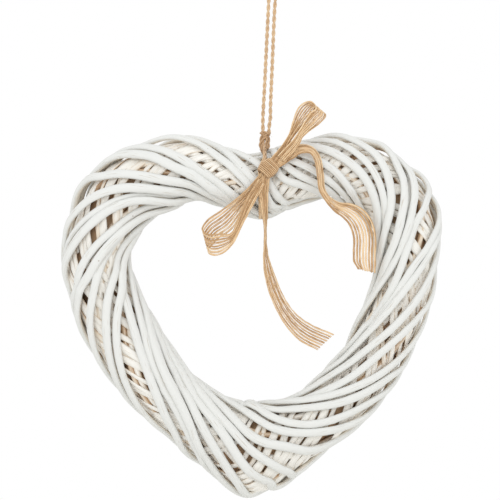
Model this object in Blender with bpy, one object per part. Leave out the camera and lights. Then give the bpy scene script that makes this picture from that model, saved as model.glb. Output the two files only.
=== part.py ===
"""Wicker heart wreath: a ring of willow rods wound round a bundle of inner rods,
tied with a bow of open-weave jute ribbon and hung from a loop of jute cord.

Metres, +Z up, front towards -Y. The origin is the point inside the top of the
cord loop where a nail or a hook carries the wreath.
"""
import math

import bmesh
import bpy
import numpy as np

# Heart, seen from the front
HEART_WIDTH = 0.350
HEART_HEIGHT = 0.338
RING_WIDTH = 0.064
RING_DEPTH = 0.062

# Middle line of the ring, clockwise from the dip between the lobes: place across as a
# share of the heart's width, place up as a share of its height, ring width as a share
HEART_STATIONS = (
    (0.023, 0.355, 0.97), (0.126, 0.388, 0.95), (0.217, 0.402, 0.98), (0.303, 0.379, 1.03),
    (0.371, 0.317, 1.09), (0.406, 0.231, 1.05), (0.411, 0.142, 0.98), (0.394, 0.053, 0.94),
    (0.351, -0.053, 0.95), (0.289, -0.169, 0.92), (0.206, -0.257, 0.97), (0.109, -0.322, 1.09),
    (0.011, -0.364, 1.44), (-0.077, -0.325, 1.12), (-0.174, -0.254, 0.97), (-0.263, -0.163, 1.00),
    (-0.337, -0.047, 1.08), (-0.386, 0.059, 1.02), (-0.406, 0.154, 1.03), (-0.380, 0.260, 1.05),
    (-0.329, 0.337, 1.09), (-0.243, 0.379, 1.05), (-0.157, 0.402, 0.97), (-0.071, 0.379, 0.92),
)

# Outer rods: each winds once round the heart in its own lane and stops where the next begins
ROD_DIAMETER = 0.0073
ROD_GAP = 0.0003
ROD_END_GAP = 0.004
ROD_SPACE = 1.60
ROD_CROWDING = 0.25
ROD_SLACK = 0.25
WHOLE_TURNS = 2
LANE_STEP = 3
LANE_SEAM = 0.75
ROD_SPACING = 0.025
ROD_SIDES = 6
ROD_SAMPLES = 800

# Inner rods: a ribbed bundle that winds the other way
BUNDLE_GAP = 0.0018
RIB_DEPTH = 0.0035
RIB_COUNT = 8
BUNDLE_TURNS = 1.75
BUNDLE_SECTIONS = 38

# Cord
CORD_DIAMETER = 0.0029
CORD_GAP = 0.0003
TIE_PLACE = 0.006
TIE_CLEARANCE = 0.0020
TIE_POINTS = 24
TIE_CROSSING = (25.0, 45.0)
KNOT_HEIGHT = 0.0125
KNOT_LEAN = 0.0015
KNOT_COLLAR_RADIUS = 0.0033
KNOT_COLLAR_POINTS = 8
KNOT_COLLAR_SWAY = 0.3
KNOT_SIDES = 6
CORD_SPACING = 0.0075
CORD_SIDES = 8

# Collars of the knot: how far down the knot, and size as a share of the collar radius
KNOT_COLLARS = (("upper", 0.26, 1.10), ("lower", 0.80, 0.80))

# Cord route, from the knot up over the nail and back down to the knot
CORD_ROUTE = (
    (-0.0096, 0.0, -0.1487), (-0.0097, 0.0, -0.1430), (-0.0096, 0.0, -0.1350),
    (-0.0092, 0.0, -0.1270), (-0.0080, 0.0, -0.1050), (-0.0068, 0.0, -0.0800),
    (-0.0054, 0.0, -0.0520), (-0.0043, 0.0, -0.0290), (-0.0042, 0.0, -0.0190),
    (-0.0052, 0.0, -0.0110), (-0.0058, 0.0, -0.0044), (-0.0040, 0.0, 0.0001),
    (0.0000, 0.0, 0.0015), (0.0041, 0.0, 0.0000), (0.0058, 0.0, -0.0046),
    (0.0051, 0.0, -0.0112), (0.0033, 0.0, -0.0190), (0.0017, 0.0, -0.0290),
    (0.0004, 0.0, -0.0520), (-0.0007, 0.0, -0.0800), (-0.0018, 0.0, -0.1050),
    (-0.0027, 0.0, -0.1270), (-0.0027, 0.0, -0.1350), (-0.0037, 0.0, -0.1430),
    (-0.0041, 0.0, -0.1470), (-0.0041, 0.0, -0.1500),
)
# Strands of the knot, measured from the cord end above each
LEFT_STRAND = ((0.0, 0.0, 0.0), (0.0, 0.0, -0.0015), (-0.0019, -0.0008, -0.0050),
               (-0.0026, -0.0010, -0.0102))
RIGHT_STRAND = ((0.0, 0.0, 0.0), (0.0, 0.0, -0.0015), (0.0004, 0.0008, -0.0045),
                (0.0000, 0.0010, -0.0088))

# Ribbon
RIBBON_WIDTH = 0.0207
RIBBON_THICKNESS = 0.0013
WAIST_WIDTH = 0.0040
WAIST_THICKNESS = 0.0018
WAIST_SHIFT = 0.0048
WAIST_CROSSING = (5.0, 42.0)
WAIST_POINTS = 24
BOW_KNOT_SIZE = (0.0165, 0.0160, 0.0080)
BOW_KNOT_ROUNDING = 0.0030
BOW_KNOT_TURN = 56.0
BOW_KNOT_PLACE = 0.0035
BOW_KNOT_HEIGHT = 68.0
GROOVE_CLEARANCE = 0.0004

# Strips of the bow. Each row: right of the bow's knot, above it, in front of the ring
# (all in millimetres), width as a share of the ribbon's, direction of the width in
# degrees above the horizontal, and how far the width turns away from the viewer
LOWER_LOOP = (
    (-3.7, -6.4, 4.6, 0.36, 135, 0), (-13.8, -20.2, 3.4, 0.49, 137, 0),
    (-25.8, -34.0, 2.4, 0.62, 135, 0), (-37.7, -46.0, 2.3, 0.75, 132, 0),
    (-48.8, -57.0, 3.5, 0.91, 118, 0), (-55.7, -66.2, 7.0, 1.00, 106, 0),
    (-50.6, -69.5, 11.0, 0.96, 101, 0), (-42.3, -68.1, 12.5, 0.89, 98, 0),
    (-34.0, -60.7, 12.0, 0.67, 115, 0), (-26.7, -47.8, 10.0, 0.49, 130, 0),
    (-18.4, -33.1, 7.5, 0.40, 135, 0), (-6.3, -11.6, 5.6, 0.36, 135, 0),
)
UPPER_LOOP = (
    (3.6, 4.9, 2.5, 0.36, 150, 0), (14.7, 17.5, 2.5, 0.40, 145, 0),
    (22.1, 28.5, 2.5, 0.36, 150, 0), (27.6, 40.5, 3.0, 0.49, 155, 0),
    (34.0, 50.6, 4.5, 0.75, 145, 0), (46.0, 56.1, 8.0, 0.89, 139, 0),
    (46.9, 48.8, 11.5, 0.71, 135, 0), (40.5, 41.4, 12.0, 0.58, 135, 0),
    (33.1, 32.2, 11.0, 0.49, 140, 0), (24.8, 22.1, 8.5, 0.44, 142, 0),
    (11.8, 8.6, 5.0, 0.40, 140, 0),
)
LOWER_TAIL = (
    (-1.8, -5.3, 4.8, 0.31, 0, 0), (-4.1, -21.2, 5.4, 0.38, 0, 0),
    (-3.5, -36.8, 5.2, 0.31, 0, 15), (-2.9, -53.4, 3.5, 0.36, 0, 65),
    (-2.9, -66.2, 1.0, 0.45, 0, 70), (-1.8, -80.0, -0.5, 0.58, 5, 55),
    (2.8, -100.3, -3.0, 0.80, 15, 35), (9.7, -119.6, -5.0, 0.93, 25, 20),
    (20.7, -136.2, -6.5, 1.00, 35, 5), (35.0, -149.0, -7.0, 1.00, 42, 0),
    (52.4, -158.2, -7.0, 1.00, 44, 0),
)
SIDE_TAIL = (
    (4.5, 1.8, 2.0, 0.36, 125, 0), (17.5, 11.0, 2.0, 0.40, 125, 0),
    (29.4, 17.9, 2.5, 0.40, 115, 20), (39.6, 16.6, 4.5, 0.36, 60, 45),
    (45.1, 7.4, 5.5, 0.36, 20, 50), (47.4, -6.4, 6.0, 0.36, 5, 50),
    (48.8, -18.4, 6.0, 0.36, 10, 50), (54.3, -27.6, 5.5, 0.40, 35, 45),
    (63.5, -34.5, 4.0, 0.53, 48, 20), (72.7, -38.2, 2.0, 0.71, 48, 0),
    (81.0, -44.6, 0.0, 0.87, 38, 0), (86.9, -54.3, -2.5, 0.93, 22, 0),
    (89.7, -65.3, -4.0, 0.98, 5, 0), (89.7, -75.4, -4.0, 1.00, -10, 0),
    (91.1, -85.6, -3.5, 1.00, -31, 0),
)
MM = 0.001

# Points that a curve takes between two of its rows
ROUTE_STEPS = 12
STRAND_STEPS = 2
STRIP_STEPS = 1

# Worked out from the sizes above
ROD_RADIUS = ROD_DIAMETER / 2
CORD_RADIUS = CORD_DIAMETER / 2
ROD_ROOM = math.pi * (RING_DEPTH - ROD_DIAMETER) / (ROD_DIAMETER + ROD_GAP)
ROD_COUNT = int(ROD_ROOM / ROD_SPACE)
ROD_TURNS = WHOLE_TURNS + LANE_STEP / ROD_COUNT


def clear_objects():
    """Remove every object of the scene."""
    for old in list(bpy.data.objects):
        bpy.data.objects.remove(old, do_unlink=True)


def make_collection(name):
    """Add a collection to the scene."""
    group = bpy.data.collections.new(name)
    bpy.context.scene.collection.children.link(group)
    return group


def make_material(name, colour, roughness):
    """Plain Principled material with a linear RGB colour."""
    material = bpy.data.materials.new(name)
    material.use_nodes = True
    shader = material.node_tree.nodes["Principled BSDF"]
    shader.inputs["Base Color"].default_value = (*colour, 1.0)
    shader.inputs["Roughness"].default_value = roughness
    shader.inputs["Metallic"].default_value = 0.0
    return material


def closed_spline(points, place):
    """Smooth closed curve through points, at places counted in points."""
    count = len(points)
    before = np.floor(place).astype(int)
    part = (place - before)[:, None]
    a, b, c, d = (points[(before + step) % count] for step in (-1, 0, 1, 2))
    cubic = (3 * b - a - 3 * c + d) * part**3
    square = (2 * a - 5 * b + 4 * c - d) * part**2
    return 0.5 * (2 * b + (c - a) * part + square + cubic)


def open_spline(points, steps):
    """Smooth open curve through rows of numbers, with steps between each two rows."""
    rows = np.array(points, dtype=float)
    padded = np.vstack([2 * rows[0] - rows[1], rows, 2 * rows[-1] - rows[-2]])
    spans = len(rows) - 1
    place = np.linspace(0, spans, spans * steps + 1)
    before = np.minimum(place.astype(int), spans - 1)
    part = (place - before)[:, None]
    a, b, c, d = (padded[before + step] for step in (0, 1, 2, 3))
    cubic = (3 * b - a - 3 * c + d) * part**3
    square = (2 * a - 5 * b + 4 * c - d) * part**2
    return 0.5 * (2 * b + (c - a) * part + square + cubic)


def even_points(path, spacing):
    """Evenly spaced points along a path of many short steps."""
    lengths = np.linalg.norm(np.diff(path, axis=0), axis=1)
    along = np.concatenate([[0.0], np.cumsum(lengths)])
    wanted = np.linspace(0.0, along[-1], round(along[-1] / spacing) + 1)
    return np.stack([np.interp(wanted, along, path[:, axis]) for axis in range(3)], axis=1)


def ease(value, low, high):
    """Smooth step from 0 at low to 1 at high."""
    share = np.clip((value - low) / (high - low), 0.0, 1.0)
    return share * share * (3 - 2 * share)


class Ring:
    """Surface of the ring: a share of the circuit, clockwise from the dip, and an angle
    round the section, 0 at the outer edge, 90 at the front and 180 at the inner edge."""

    def __init__(self):
        table = np.array(HEART_STATIONS)
        middle = np.stack([table[:, 0] * HEART_WIDTH, table[:, 1] * HEART_HEIGHT], axis=1)
        near = np.roll(middle, -1, axis=0) - np.roll(middle, 1, axis=0)
        far = np.roll(middle, -2, axis=0) - np.roll(middle, 2, axis=0)
        along = near + far
        along = along / np.linalg.norm(along, axis=1, keepdims=True)
        outward = np.stack([-along[:, 1], along[:, 0]], axis=1)
        reach = outward * table[:, 2:3] * RING_WIDTH / 2
        self.outer = middle + reach
        self.inner = middle - reach
        self.places = np.linspace(0.0, len(middle), 100 * len(middle) + 1)
        steps = np.linalg.norm(np.diff(closed_spline(middle, self.places), axis=0), axis=1)
        travelled = np.concatenate([[0.0], np.cumsum(steps)])
        self.length = travelled[-1]
        self.shares = travelled / self.length
        self.centre = np.zeros(3)

    def point(self, share, angle, inset):
        """Points inset below the surface; a negative inset lies above it."""
        share, angle, inset = np.broadcast_arrays(share, angle, inset)
        place = np.interp(np.mod(share, 1.0), self.shares, self.places)
        outer = closed_spline(self.outer, place)
        inner = closed_spline(self.inner, place)
        half = (outer - inner) / 2
        size = np.linalg.norm(half, axis=1)
        across = half * (np.cos(angle) * (size - inset) / size)[:, None]
        flat = (outer + inner) / 2 + across
        depth = -(RING_DEPTH / 2 - inset) * np.sin(angle)
        return np.stack([flat[:, 0], depth, flat[:, 1]], axis=1) + self.centre


def add_tube(name, points, radius, sides, material, group, closed=False):
    """Curve tube with filled caps along a list of points."""
    curve = bpy.data.curves.new(name, "CURVE")
    curve.dimensions = "3D"
    curve.bevel_depth = radius
    curve.bevel_resolution = sides // 2 - 2
    curve.use_fill_caps = True
    spline = curve.splines.new("POLY")
    spline.points.add(len(points) - 1)
    for spot, point in zip(spline.points, points):
        spot.co = (*point, 1.0)
    spline.use_cyclic_u = closed
    spline.use_smooth = True
    tube = bpy.data.objects.new(name, curve)
    curve.materials.append(material)
    group.objects.link(tube)
    return tube


def tube_to_mesh(tube, group):
    """Mesh object that takes a tube's place, with its caps welded."""
    graph = bpy.context.evaluated_depsgraph_get()
    mesh = bpy.data.meshes.new_from_object(tube.evaluated_get(graph))
    form = bmesh.new()
    form.from_mesh(mesh)
    bmesh.ops.remove_doubles(form, verts=form.verts, dist=1e-6)
    bmesh.ops.recalc_face_normals(form, faces=form.faces)
    form.to_mesh(mesh)
    form.free()
    name = tube.name
    solid = bpy.data.objects.new(name + "_solid", mesh)
    solid.matrix_world = tube.matrix_world
    group.objects.link(solid)
    bpy.data.objects.remove(tube, do_unlink=True)
    return solid


def add_loft(name, sections, material, group, closed=False, turn=0):
    """Closed solid through sections of equal point count.

    A closed loft joins its last section to the first, turned on by some points;
    an open one has flat ends.
    """
    count, sides = sections.shape[:2]
    form = bmesh.new()
    rings = [[form.verts.new(point) for point in section] for section in sections]
    for index in range(count if closed else count - 1):
        here = rings[index]
        last = index == count - 1
        there = rings[(index + 1) % count]
        shift = turn if last else 0
        for side in range(sides):
            after = (side + 1) % sides
            corners = (here[side], here[after], there[(after + shift) % sides],
                       there[(side + shift) % sides])
            form.faces.new(corners)
    if not closed:
        form.faces.new(list(reversed(rings[0])))
        form.faces.new(rings[-1])
    bmesh.ops.triangulate(form, faces=form.faces)
    bmesh.ops.recalc_face_normals(form, faces=form.faces)
    mesh = bpy.data.meshes.new(name)
    form.to_mesh(mesh)
    form.free()
    mesh.materials.append(material)
    solid = bpy.data.objects.new(name, mesh)
    group.objects.link(solid)
    return solid


def smooth(solid, degrees):
    """Smooth shading with edges sharper than an angle kept."""
    solid.data.shade_smooth()
    solid.data.set_sharp_from_angle(angle=math.radians(degrees))


def join_solids(base, others):
    """Boolean union of other solids into a base."""
    for other in others:
        union = base.modifiers.new("join_" + other.name, "BOOLEAN")
        union.operation = "UNION"
        union.solver = "EXACT"
        union.object = other
        other.hide_render = True
        other.display_type = "WIRE"


def lane_progress(share):
    """Winding done at a share of the circuit: slower at the dip and at the tip."""
    return share - ROD_SLACK * np.sin(4 * math.pi * share) / (4 * math.pi)


def build_rods(ring, material, group):
    """Outer rods, side by side round the ring, each butted to the next at the back."""
    shares = np.linspace(0.0, 1.0, ROD_SAMPLES)
    progress = lane_progress(shares)

    def lane_start(rod):
        behind = (LANE_SEAM - rod / ROD_COUNT) % 1.0
        return np.interp(behind / ROD_TURNS, progress, shares)

    end_gap = (ROD_END_GAP + ROD_DIAMETER) / ring.length / 2
    for rod in range(ROD_COUNT):
        start = lane_start(rod) + end_gap
        stop = 1.0 + lane_start((rod + LANE_STEP) % ROD_COUNT) - end_gap
        share = np.linspace(start, stop, ROD_SAMPLES)
        phase = 2 * math.pi * (rod / ROD_COUNT + ROD_TURNS * lane_progress(share))
        angle = phase + ROD_CROWDING * np.sin(phase)
        path = even_points(ring.point(share, angle, ROD_RADIUS), ROD_SPACING)
        add_tube(f"rod_{rod + 1:02d}", path, ROD_RADIUS, ROD_SIDES, material, group)


def build_bundle(ring, material, group):
    """Inner rods: a ring of twisted ribs just under the outer rods."""
    points = 2 * RIB_COUNT
    side = np.arange(points)
    inset = ROD_DIAMETER + BUNDLE_GAP + RIB_DEPTH * (side % 2)
    sections = []
    for index in range(BUNDLE_SECTIONS):
        share = index / BUNDLE_SECTIONS
        angle = 2 * math.pi * (side / points - BUNDLE_TURNS * share)
        sections.append(ring.point(share, angle, inset))
    turn = -round(BUNDLE_TURNS * points)
    bundle = add_loft("inner_rods", np.array(sections), material, group, True, turn)
    smooth(bundle, 30)


def build_cord(ring, material, group, cutters):
    """Cord loop over the nail, and the knot with the tie round the ring below it."""
    route = even_points(open_spline(CORD_ROUTE, ROUTE_STEPS), CORD_SPACING)
    add_tube("hanging_cord", route, CORD_RADIUS, CORD_SIDES, material, group)

    foot = knot_foot()
    strands = []
    for name, end, strand in (("left", CORD_ROUTE[0], LEFT_STRAND),
                              ("right", CORD_ROUTE[-1], RIGHT_STRAND)):
        top = np.array(end) - (0.0, 0.0, CORD_GAP)
        path = open_spline(np.vstack([top + np.array(strand), foot]), STRAND_STEPS)
        tube = add_tube("knot_" + name, path, CORD_RADIUS, KNOT_SIDES, material, cutters)
        strands.append(tube_to_mesh(tube, cutters))
    turn = np.linspace(0.0, 2 * math.pi, KNOT_COLLAR_POINTS, endpoint=False)
    knot_top = (np.array(CORD_ROUTE[0]) + np.array(CORD_ROUTE[-1])) / 2
    circle = np.stack([np.cos(turn), np.sin(turn), KNOT_COLLAR_SWAY * np.cos(turn)], axis=1)
    for name, share, size in KNOT_COLLARS:
        collar = knot_top + (foot - knot_top) * share + circle * KNOT_COLLAR_RADIUS * size
        tube = add_tube("collar_" + name, collar, CORD_RADIUS, KNOT_SIDES, material, cutters, True)
        strands.append(tube_to_mesh(tube, cutters))

    tie = add_tube("cord_tie", tie_path(ring), CORD_RADIUS, KNOT_SIDES, material, cutters, True)
    knot = tube_to_mesh(tie, group)
    knot.name = "cord_knot"
    join_solids(knot, strands)


def from_top(turn):
    """Degrees either way from the top of the ring's section at the dip."""
    return np.degrees(np.abs((turn + math.pi) % (2 * math.pi) - math.pi))


def tie_height(turn):
    """Height of the tie's middle above the rods: it steps over the ribbon at the top."""
    under = 1.0 - ease(from_top(turn), *TIE_CROSSING)
    return TIE_CLEARANCE + CORD_RADIUS + (WAIST_THICKNESS + CORD_GAP) * under


def tie_path(ring):
    """Points of the cord's tie round the ring."""
    turn = np.linspace(0.0, 2 * math.pi, TIE_POINTS, endpoint=False)
    return ring.point(TIE_PLACE, turn, -tie_height(turn))


def knot_foot():
    """Point where the knot sits on the tie."""
    top = (np.array(CORD_ROUTE[0]) + np.array(CORD_ROUTE[-1])) / 2
    return top - (KNOT_LEAN, 0.0, KNOT_HEIGHT)


def strip_sections(rows, knot):
    """Sections of a flat strip of ribbon, four corners each, along its rows."""
    table = open_spline(rows, STRIP_STEPS)
    middle = np.stack([table[:, 0] * MM + knot[0], -RING_DEPTH / 2 - table[:, 2] * MM,
                       table[:, 1] * MM + knot[2]], axis=1)
    slant = np.radians(table[:, 4])
    tilt = np.radians(table[:, 5])
    width = np.stack([np.cos(slant) * np.cos(tilt), np.sin(tilt),
                      np.sin(slant) * np.cos(tilt)], axis=1)
    along = np.gradient(middle, axis=0)
    face = np.cross(along, width)
    face = face / np.linalg.norm(face, axis=1, keepdims=True)
    across = width * (table[:, 3] * RIBBON_WIDTH / 2)[:, None]
    out = face * RIBBON_THICKNESS / 2
    return np.stack([middle + across + out, middle - across + out,
                     middle - across - out, middle + across - out], axis=1)


def build_ribbon(ring, material, group, cutters):
    """Bow: a knot, a gathered waist round the ring, two loops and two tails."""
    turn = np.linspace(0.0, 2 * math.pi, WAIST_POINTS, endpoint=False)
    shift = WAIST_SHIFT / ring.length * ease(from_top(turn), *WAIST_CROSSING)
    half = WAIST_WIDTH / ring.length / 2
    low, high = TIE_CLEARANCE, TIE_CLEARANCE + WAIST_THICKNESS
    corners = ((-half, low), (half, low), (half, high), (-half, high))
    waist = np.stack([ring.point(TIE_PLACE - shift + side, turn, -height)
                      for side, height in corners], axis=1)
    strips = [add_loft("waist", waist, material, cutters, True)]

    height = math.radians(BOW_KNOT_HEIGHT)
    above = TIE_CLEARANCE + BOW_KNOT_SIZE[2] / 2
    knot = ring.point([BOW_KNOT_PLACE + TIE_PLACE], [height], [-above])[0]
    for name, rows in (("lower_loop", LOWER_LOOP), ("upper_loop", UPPER_LOOP),
                       ("lower_tail", LOWER_TAIL), ("side_tail", SIDE_TAIL)):
        strips.append(add_loft(name, strip_sections(rows, knot), material, cutters))

    form = bmesh.new()
    bmesh.ops.create_cube(form, size=1.0)
    bmesh.ops.scale(form, vec=BOW_KNOT_SIZE, verts=form.verts)
    bmesh.ops.bevel(form, geom=form.edges, offset=BOW_KNOT_ROUNDING, segments=2, affect="EDGES")
    mesh = bpy.data.meshes.new("ribbon_bow")
    form.to_mesh(mesh)
    form.free()
    mesh.materials.append(material)
    bow = bpy.data.objects.new("ribbon_bow", mesh)
    bow.rotation_mode = "ZYX"
    bow.rotation_euler = (height, 0.0, math.radians(BOW_KNOT_TURN))
    bow.location = knot
    group.objects.link(bow)
    join_solids(bow, strips)

    channel = add_tube("tie_channel", tie_path(ring), CORD_RADIUS + GROOVE_CLEARANCE, KNOT_SIDES,
                       material, cutters, True)
    channel = tube_to_mesh(channel, cutters)
    channel.hide_render = True
    channel.display_type = "WIRE"
    groove = bow.modifiers.new("groove_over_the_tie", "BOOLEAN")
    groove.operation = "DIFFERENCE"
    groove.solver = "EXACT"
    groove.object = channel


def main():
    """Make the wreath, hung so that the knot sits on the tie at the dip."""
    clear_objects()
    wreath = make_collection("wicker_heart_wreath")
    cutters = make_collection("cutters")
    white_willow = make_material("white_painted_willow", (0.80, 0.79, 0.76), 0.6)
    bare_willow = make_material("thinly_painted_willow", (0.62, 0.55, 0.45), 0.7)
    jute_cord = make_material("jute_cord", (0.50, 0.30, 0.14), 0.85)
    jute_ribbon = make_material("jute_ribbon", (0.56, 0.35, 0.18), 0.85)

    ring = Ring()
    hang = ring.point([TIE_PLACE], [0.0], [-tie_height(np.zeros(1))[0]])[0]
    ring.centre = knot_foot() - hang

    build_rods(ring, white_willow, wreath)
    build_bundle(ring, bare_willow, wreath)
    build_cord(ring, jute_cord, wreath, cutters)
    build_ribbon(ring, jute_ribbon, wreath, cutters)


main()
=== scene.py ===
"""Dressed wicker heart wreath: rods of willow sprayed white, wound round a bundle of
inner rods, tied with a bow of open-weave jute ribbon and hung from a loop of jute cord.

Metres, +Z up, front towards -Y. The origin is the point inside the top of the cord loop
where a nail carries the wreath.
"""

import logging
import math
from dataclasses import dataclass, field
from enum import Enum

import bpy
import numpy as np
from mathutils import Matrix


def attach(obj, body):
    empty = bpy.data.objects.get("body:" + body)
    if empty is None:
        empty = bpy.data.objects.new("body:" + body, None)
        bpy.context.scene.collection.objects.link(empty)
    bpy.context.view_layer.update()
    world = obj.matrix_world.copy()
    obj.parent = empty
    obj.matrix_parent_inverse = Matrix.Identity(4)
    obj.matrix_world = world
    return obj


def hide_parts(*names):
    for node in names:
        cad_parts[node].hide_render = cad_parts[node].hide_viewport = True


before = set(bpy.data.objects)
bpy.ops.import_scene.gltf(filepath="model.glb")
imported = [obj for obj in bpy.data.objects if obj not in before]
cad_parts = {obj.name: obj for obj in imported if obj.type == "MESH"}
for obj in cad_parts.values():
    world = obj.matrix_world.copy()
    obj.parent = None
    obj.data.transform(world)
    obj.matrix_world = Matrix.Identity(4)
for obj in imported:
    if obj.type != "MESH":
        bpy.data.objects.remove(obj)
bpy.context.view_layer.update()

LOG = logging.getLogger("wreath")
MM = 0.001
TURN = 2 * math.pi
EIGHTH = TURN / 8
BODY = "root"

# Slow wandering: range of a wave count's factor, and what brings the mean of three sines
# back to about one
WAVE_RANGE = (0.5, 1.6)
WAVE_GAIN = 1.5
# Ends of tubes: how far out the narrower ring stands, as a share of the pole's reach, and
# its size as a share of the tube's
END_REACH = 0.6
END_SIZE = 0.72
# How far along, in metres, the grain of each next tube is shifted, so that none are alike
GRAIN_SHIFT = 0.37
# Plies of a cord: how far out they lie and how thick they are, as shares of its radius
PLY_PLACE = 0.58
PLY_SIZE = 0.66

# Cord route, from the knot up over the nail and back down to the knot, as in the CAD
CORD_ROUTE = (
    (-0.0096, 0.0, -0.1487), (-0.0097, 0.0, -0.1430), (-0.0096, 0.0, -0.1350),
    (-0.0092, 0.0, -0.1270), (-0.0080, 0.0, -0.1050), (-0.0068, 0.0, -0.0800),
    (-0.0054, 0.0, -0.0520), (-0.0043, 0.0, -0.0290), (-0.0042, 0.0, -0.0190),
    (-0.0052, 0.0, -0.0110), (-0.0058, 0.0, -0.0044), (-0.0040, 0.0, 0.0001),
    (0.0000, 0.0, 0.0015), (0.0041, 0.0, 0.0000), (0.0058, 0.0, -0.0046),
    (0.0051, 0.0, -0.0112), (0.0033, 0.0, -0.0190), (0.0017, 0.0, -0.0290),
    (0.0004, 0.0, -0.0520), (-0.0007, 0.0, -0.0800), (-0.0018, 0.0, -0.1050),
    (-0.0027, 0.0, -0.1270), (-0.0027, 0.0, -0.1350), (-0.0037, 0.0, -0.1430),
    (-0.0041, 0.0, -0.1470), (-0.0041, 0.0, -0.1500),
)

# Middle line of the ring, clockwise from the dip between the lobes: place across as a
# share of the heart's width, place up as a share of its height, ring width as a share
HEART_STATIONS = (
    (0.023, 0.355, 0.97), (0.126, 0.388, 0.95), (0.217, 0.402, 0.98), (0.303, 0.379, 1.03),
    (0.371, 0.317, 1.09), (0.406, 0.231, 1.05), (0.411, 0.142, 0.98), (0.394, 0.053, 0.94),
    (0.351, -0.053, 0.95), (0.289, -0.169, 0.92), (0.206, -0.257, 0.97), (0.109, -0.322, 1.09),
    (0.011, -0.364, 1.44), (-0.077, -0.325, 1.12), (-0.174, -0.254, 0.97), (-0.263, -0.163, 1.00),
    (-0.337, -0.047, 1.08), (-0.386, 0.059, 1.02), (-0.406, 0.154, 1.03), (-0.380, 0.260, 1.05),
    (-0.329, 0.337, 1.09), (-0.243, 0.379, 1.05), (-0.157, 0.402, 0.97), (-0.071, 0.379, 0.92),
)

# Lay of the outer rods over the front: where each crosses the ring, in hundredths of the
# circuit clockwise from the dip, at the outer edge, a quarter, the middle, three quarters
# of the way over and the inner edge
FRONT_LAY = (
    (-4.5, -0.3, 1.0, 2.3, 4.3), (0.5, 1.5, 2.6, 6.2, 8.5), (1.2, 2.1, 4.1, 7.6, 10.5),
    (1.8, 2.7, 5.8, 9.2, 13.0), (2.4, 4.3, 7.7, 11.4, 17.0), (3.3, 6.4, 11.0, 16.6, 22.0),
    (4.6, 8.8, 13.3, 18.7, 25.0), (7.0, 11.3, 15.0, 19.2, 26.0), (11.3, 13.9, 17.3, 22.6, 29.0),
    (12.8, 15.2, 19.1, 24.5, 30.5), (15.8, 17.3, 20.3, 30.0, 36.0),
    (18.2, 20.4, 23.7, 32.0, 38.0),
    (19.2, 21.2, 25.3, 32.7, 38.8), (20.6, 24.0, 30.0, 35.9, 43.5), (24.6, 27.7, 33.0, 40.2, 45.5),
    (27.8, 32.2, 36.6, 41.5, 46.0), (31.5, 34.2, 38.9, 43.9, 52.0), (33.5, 37.0, 42.6, 47.0, 52.8),
    (36.5, 40.1, 44.4, 49.5, 57.2), (39.8, 43.9, 47.1, 54.3, 61.5), (45.8, 46.9, 49.7, 57.4, 63.5),
    (47.6, 48.6, 52.6, 59.6, 67.0), (49.4, 51.3, 56.0, 61.9, 71.5), (50.8, 54.2, 58.4, 66.5, 73.0),
    (52.6, 55.2, 60.0, 69.5, 77.0), (54.9, 58.0, 63.4, 73.8, 80.0), (58.0, 64.3, 69.8, 74.4, 82.0),
    (62.5, 66.8, 72.1, 76.6, 84.5), (65.5, 70.8, 75.3, 81.5, 89.0), (70.5, 73.9, 76.6, 82.5, 90.0),
    (72.6, 74.8, 78.7, 83.8, 91.5), (75.0, 78.3, 82.7, 88.3, 93.0), (78.6, 82.1, 85.8, 91.0, 94.5),
    (82.9, 84.8, 88.4, 93.7, 99.0), (85.0, 88.5, 91.3, 96.5, 100.0),
    (87.2, 89.9, 93.1, 98.7, 101.5), (89.0, 94.6, 98.8, 100.5, 102.8),
    (94.3, 97.0, 100.0, 101.2, 103.4),
)
# Rods that show only in part, a little deeper, their ends tucked in
TUCKED_LAY = (
    (77.4, 80.1, 83.8, 89.0, 94.0), (13.6, 15.2, 17.6, 21.5, 26.0),
)
# Split rods under the outer ones: place round the circuit, and the share of the circuit
# that one takes to cross the ring there, a small one where they lie steep across it
SPLIT_LAY = (
    (0.00, 0.090), (0.08, 0.060), (0.15, 0.080), (0.21, 0.140), (0.38, 0.160), (0.47, 0.100),
    (0.52, 0.060), (0.56, 0.110), (0.61, 0.190), (0.70, 0.190), (0.82, 0.160), (1.00, 0.090),
)
# Where the outline swells or draws in: hundredths of the circuit, half length of the
# swelling in hundredths, and its height in millimetres at the outer and the inner edge
OUTLINE_SWELLS = (
    (3.6, 3.5, 0.0, -1.5), (8.6, 1.6, 3.0, 0.0), (11.6, 1.0, 2.0, 0.0), (13.7, 0.7, -1.5, 0.0),
    (15.4, 1.1, 2.5, 0.0), (17.8, 1.4, 3.5, 0.0), (22.2, 2.5, -2.5, 0.0), (37.4, 3.0, 0.0, 2.5),
    (42.5, 2.5, -2.5, 0.0), (48.9, 1.0, -5.0, 0.0), (50.5, 3.0, 0.0, 1.0), (53.9, 1.2, -1.5, 0.0),
    (57.9, 1.2, -1.5, 0.0), (67.7, 4.0, 0.0, -1.0), (74.8, 1.5, -1.5, 0.0), (78.0, 2.0, 0.0, -1.0),
    (80.0, 1.1, 2.0, 0.0), (82.3, 1.7, 4.0, 0.0), (86.6, 1.5, 2.5, 0.0), (90.9, 1.9, 3.5, 0.0),
    (94.2, 3.0, -1.5, -2.6),
)

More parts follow.
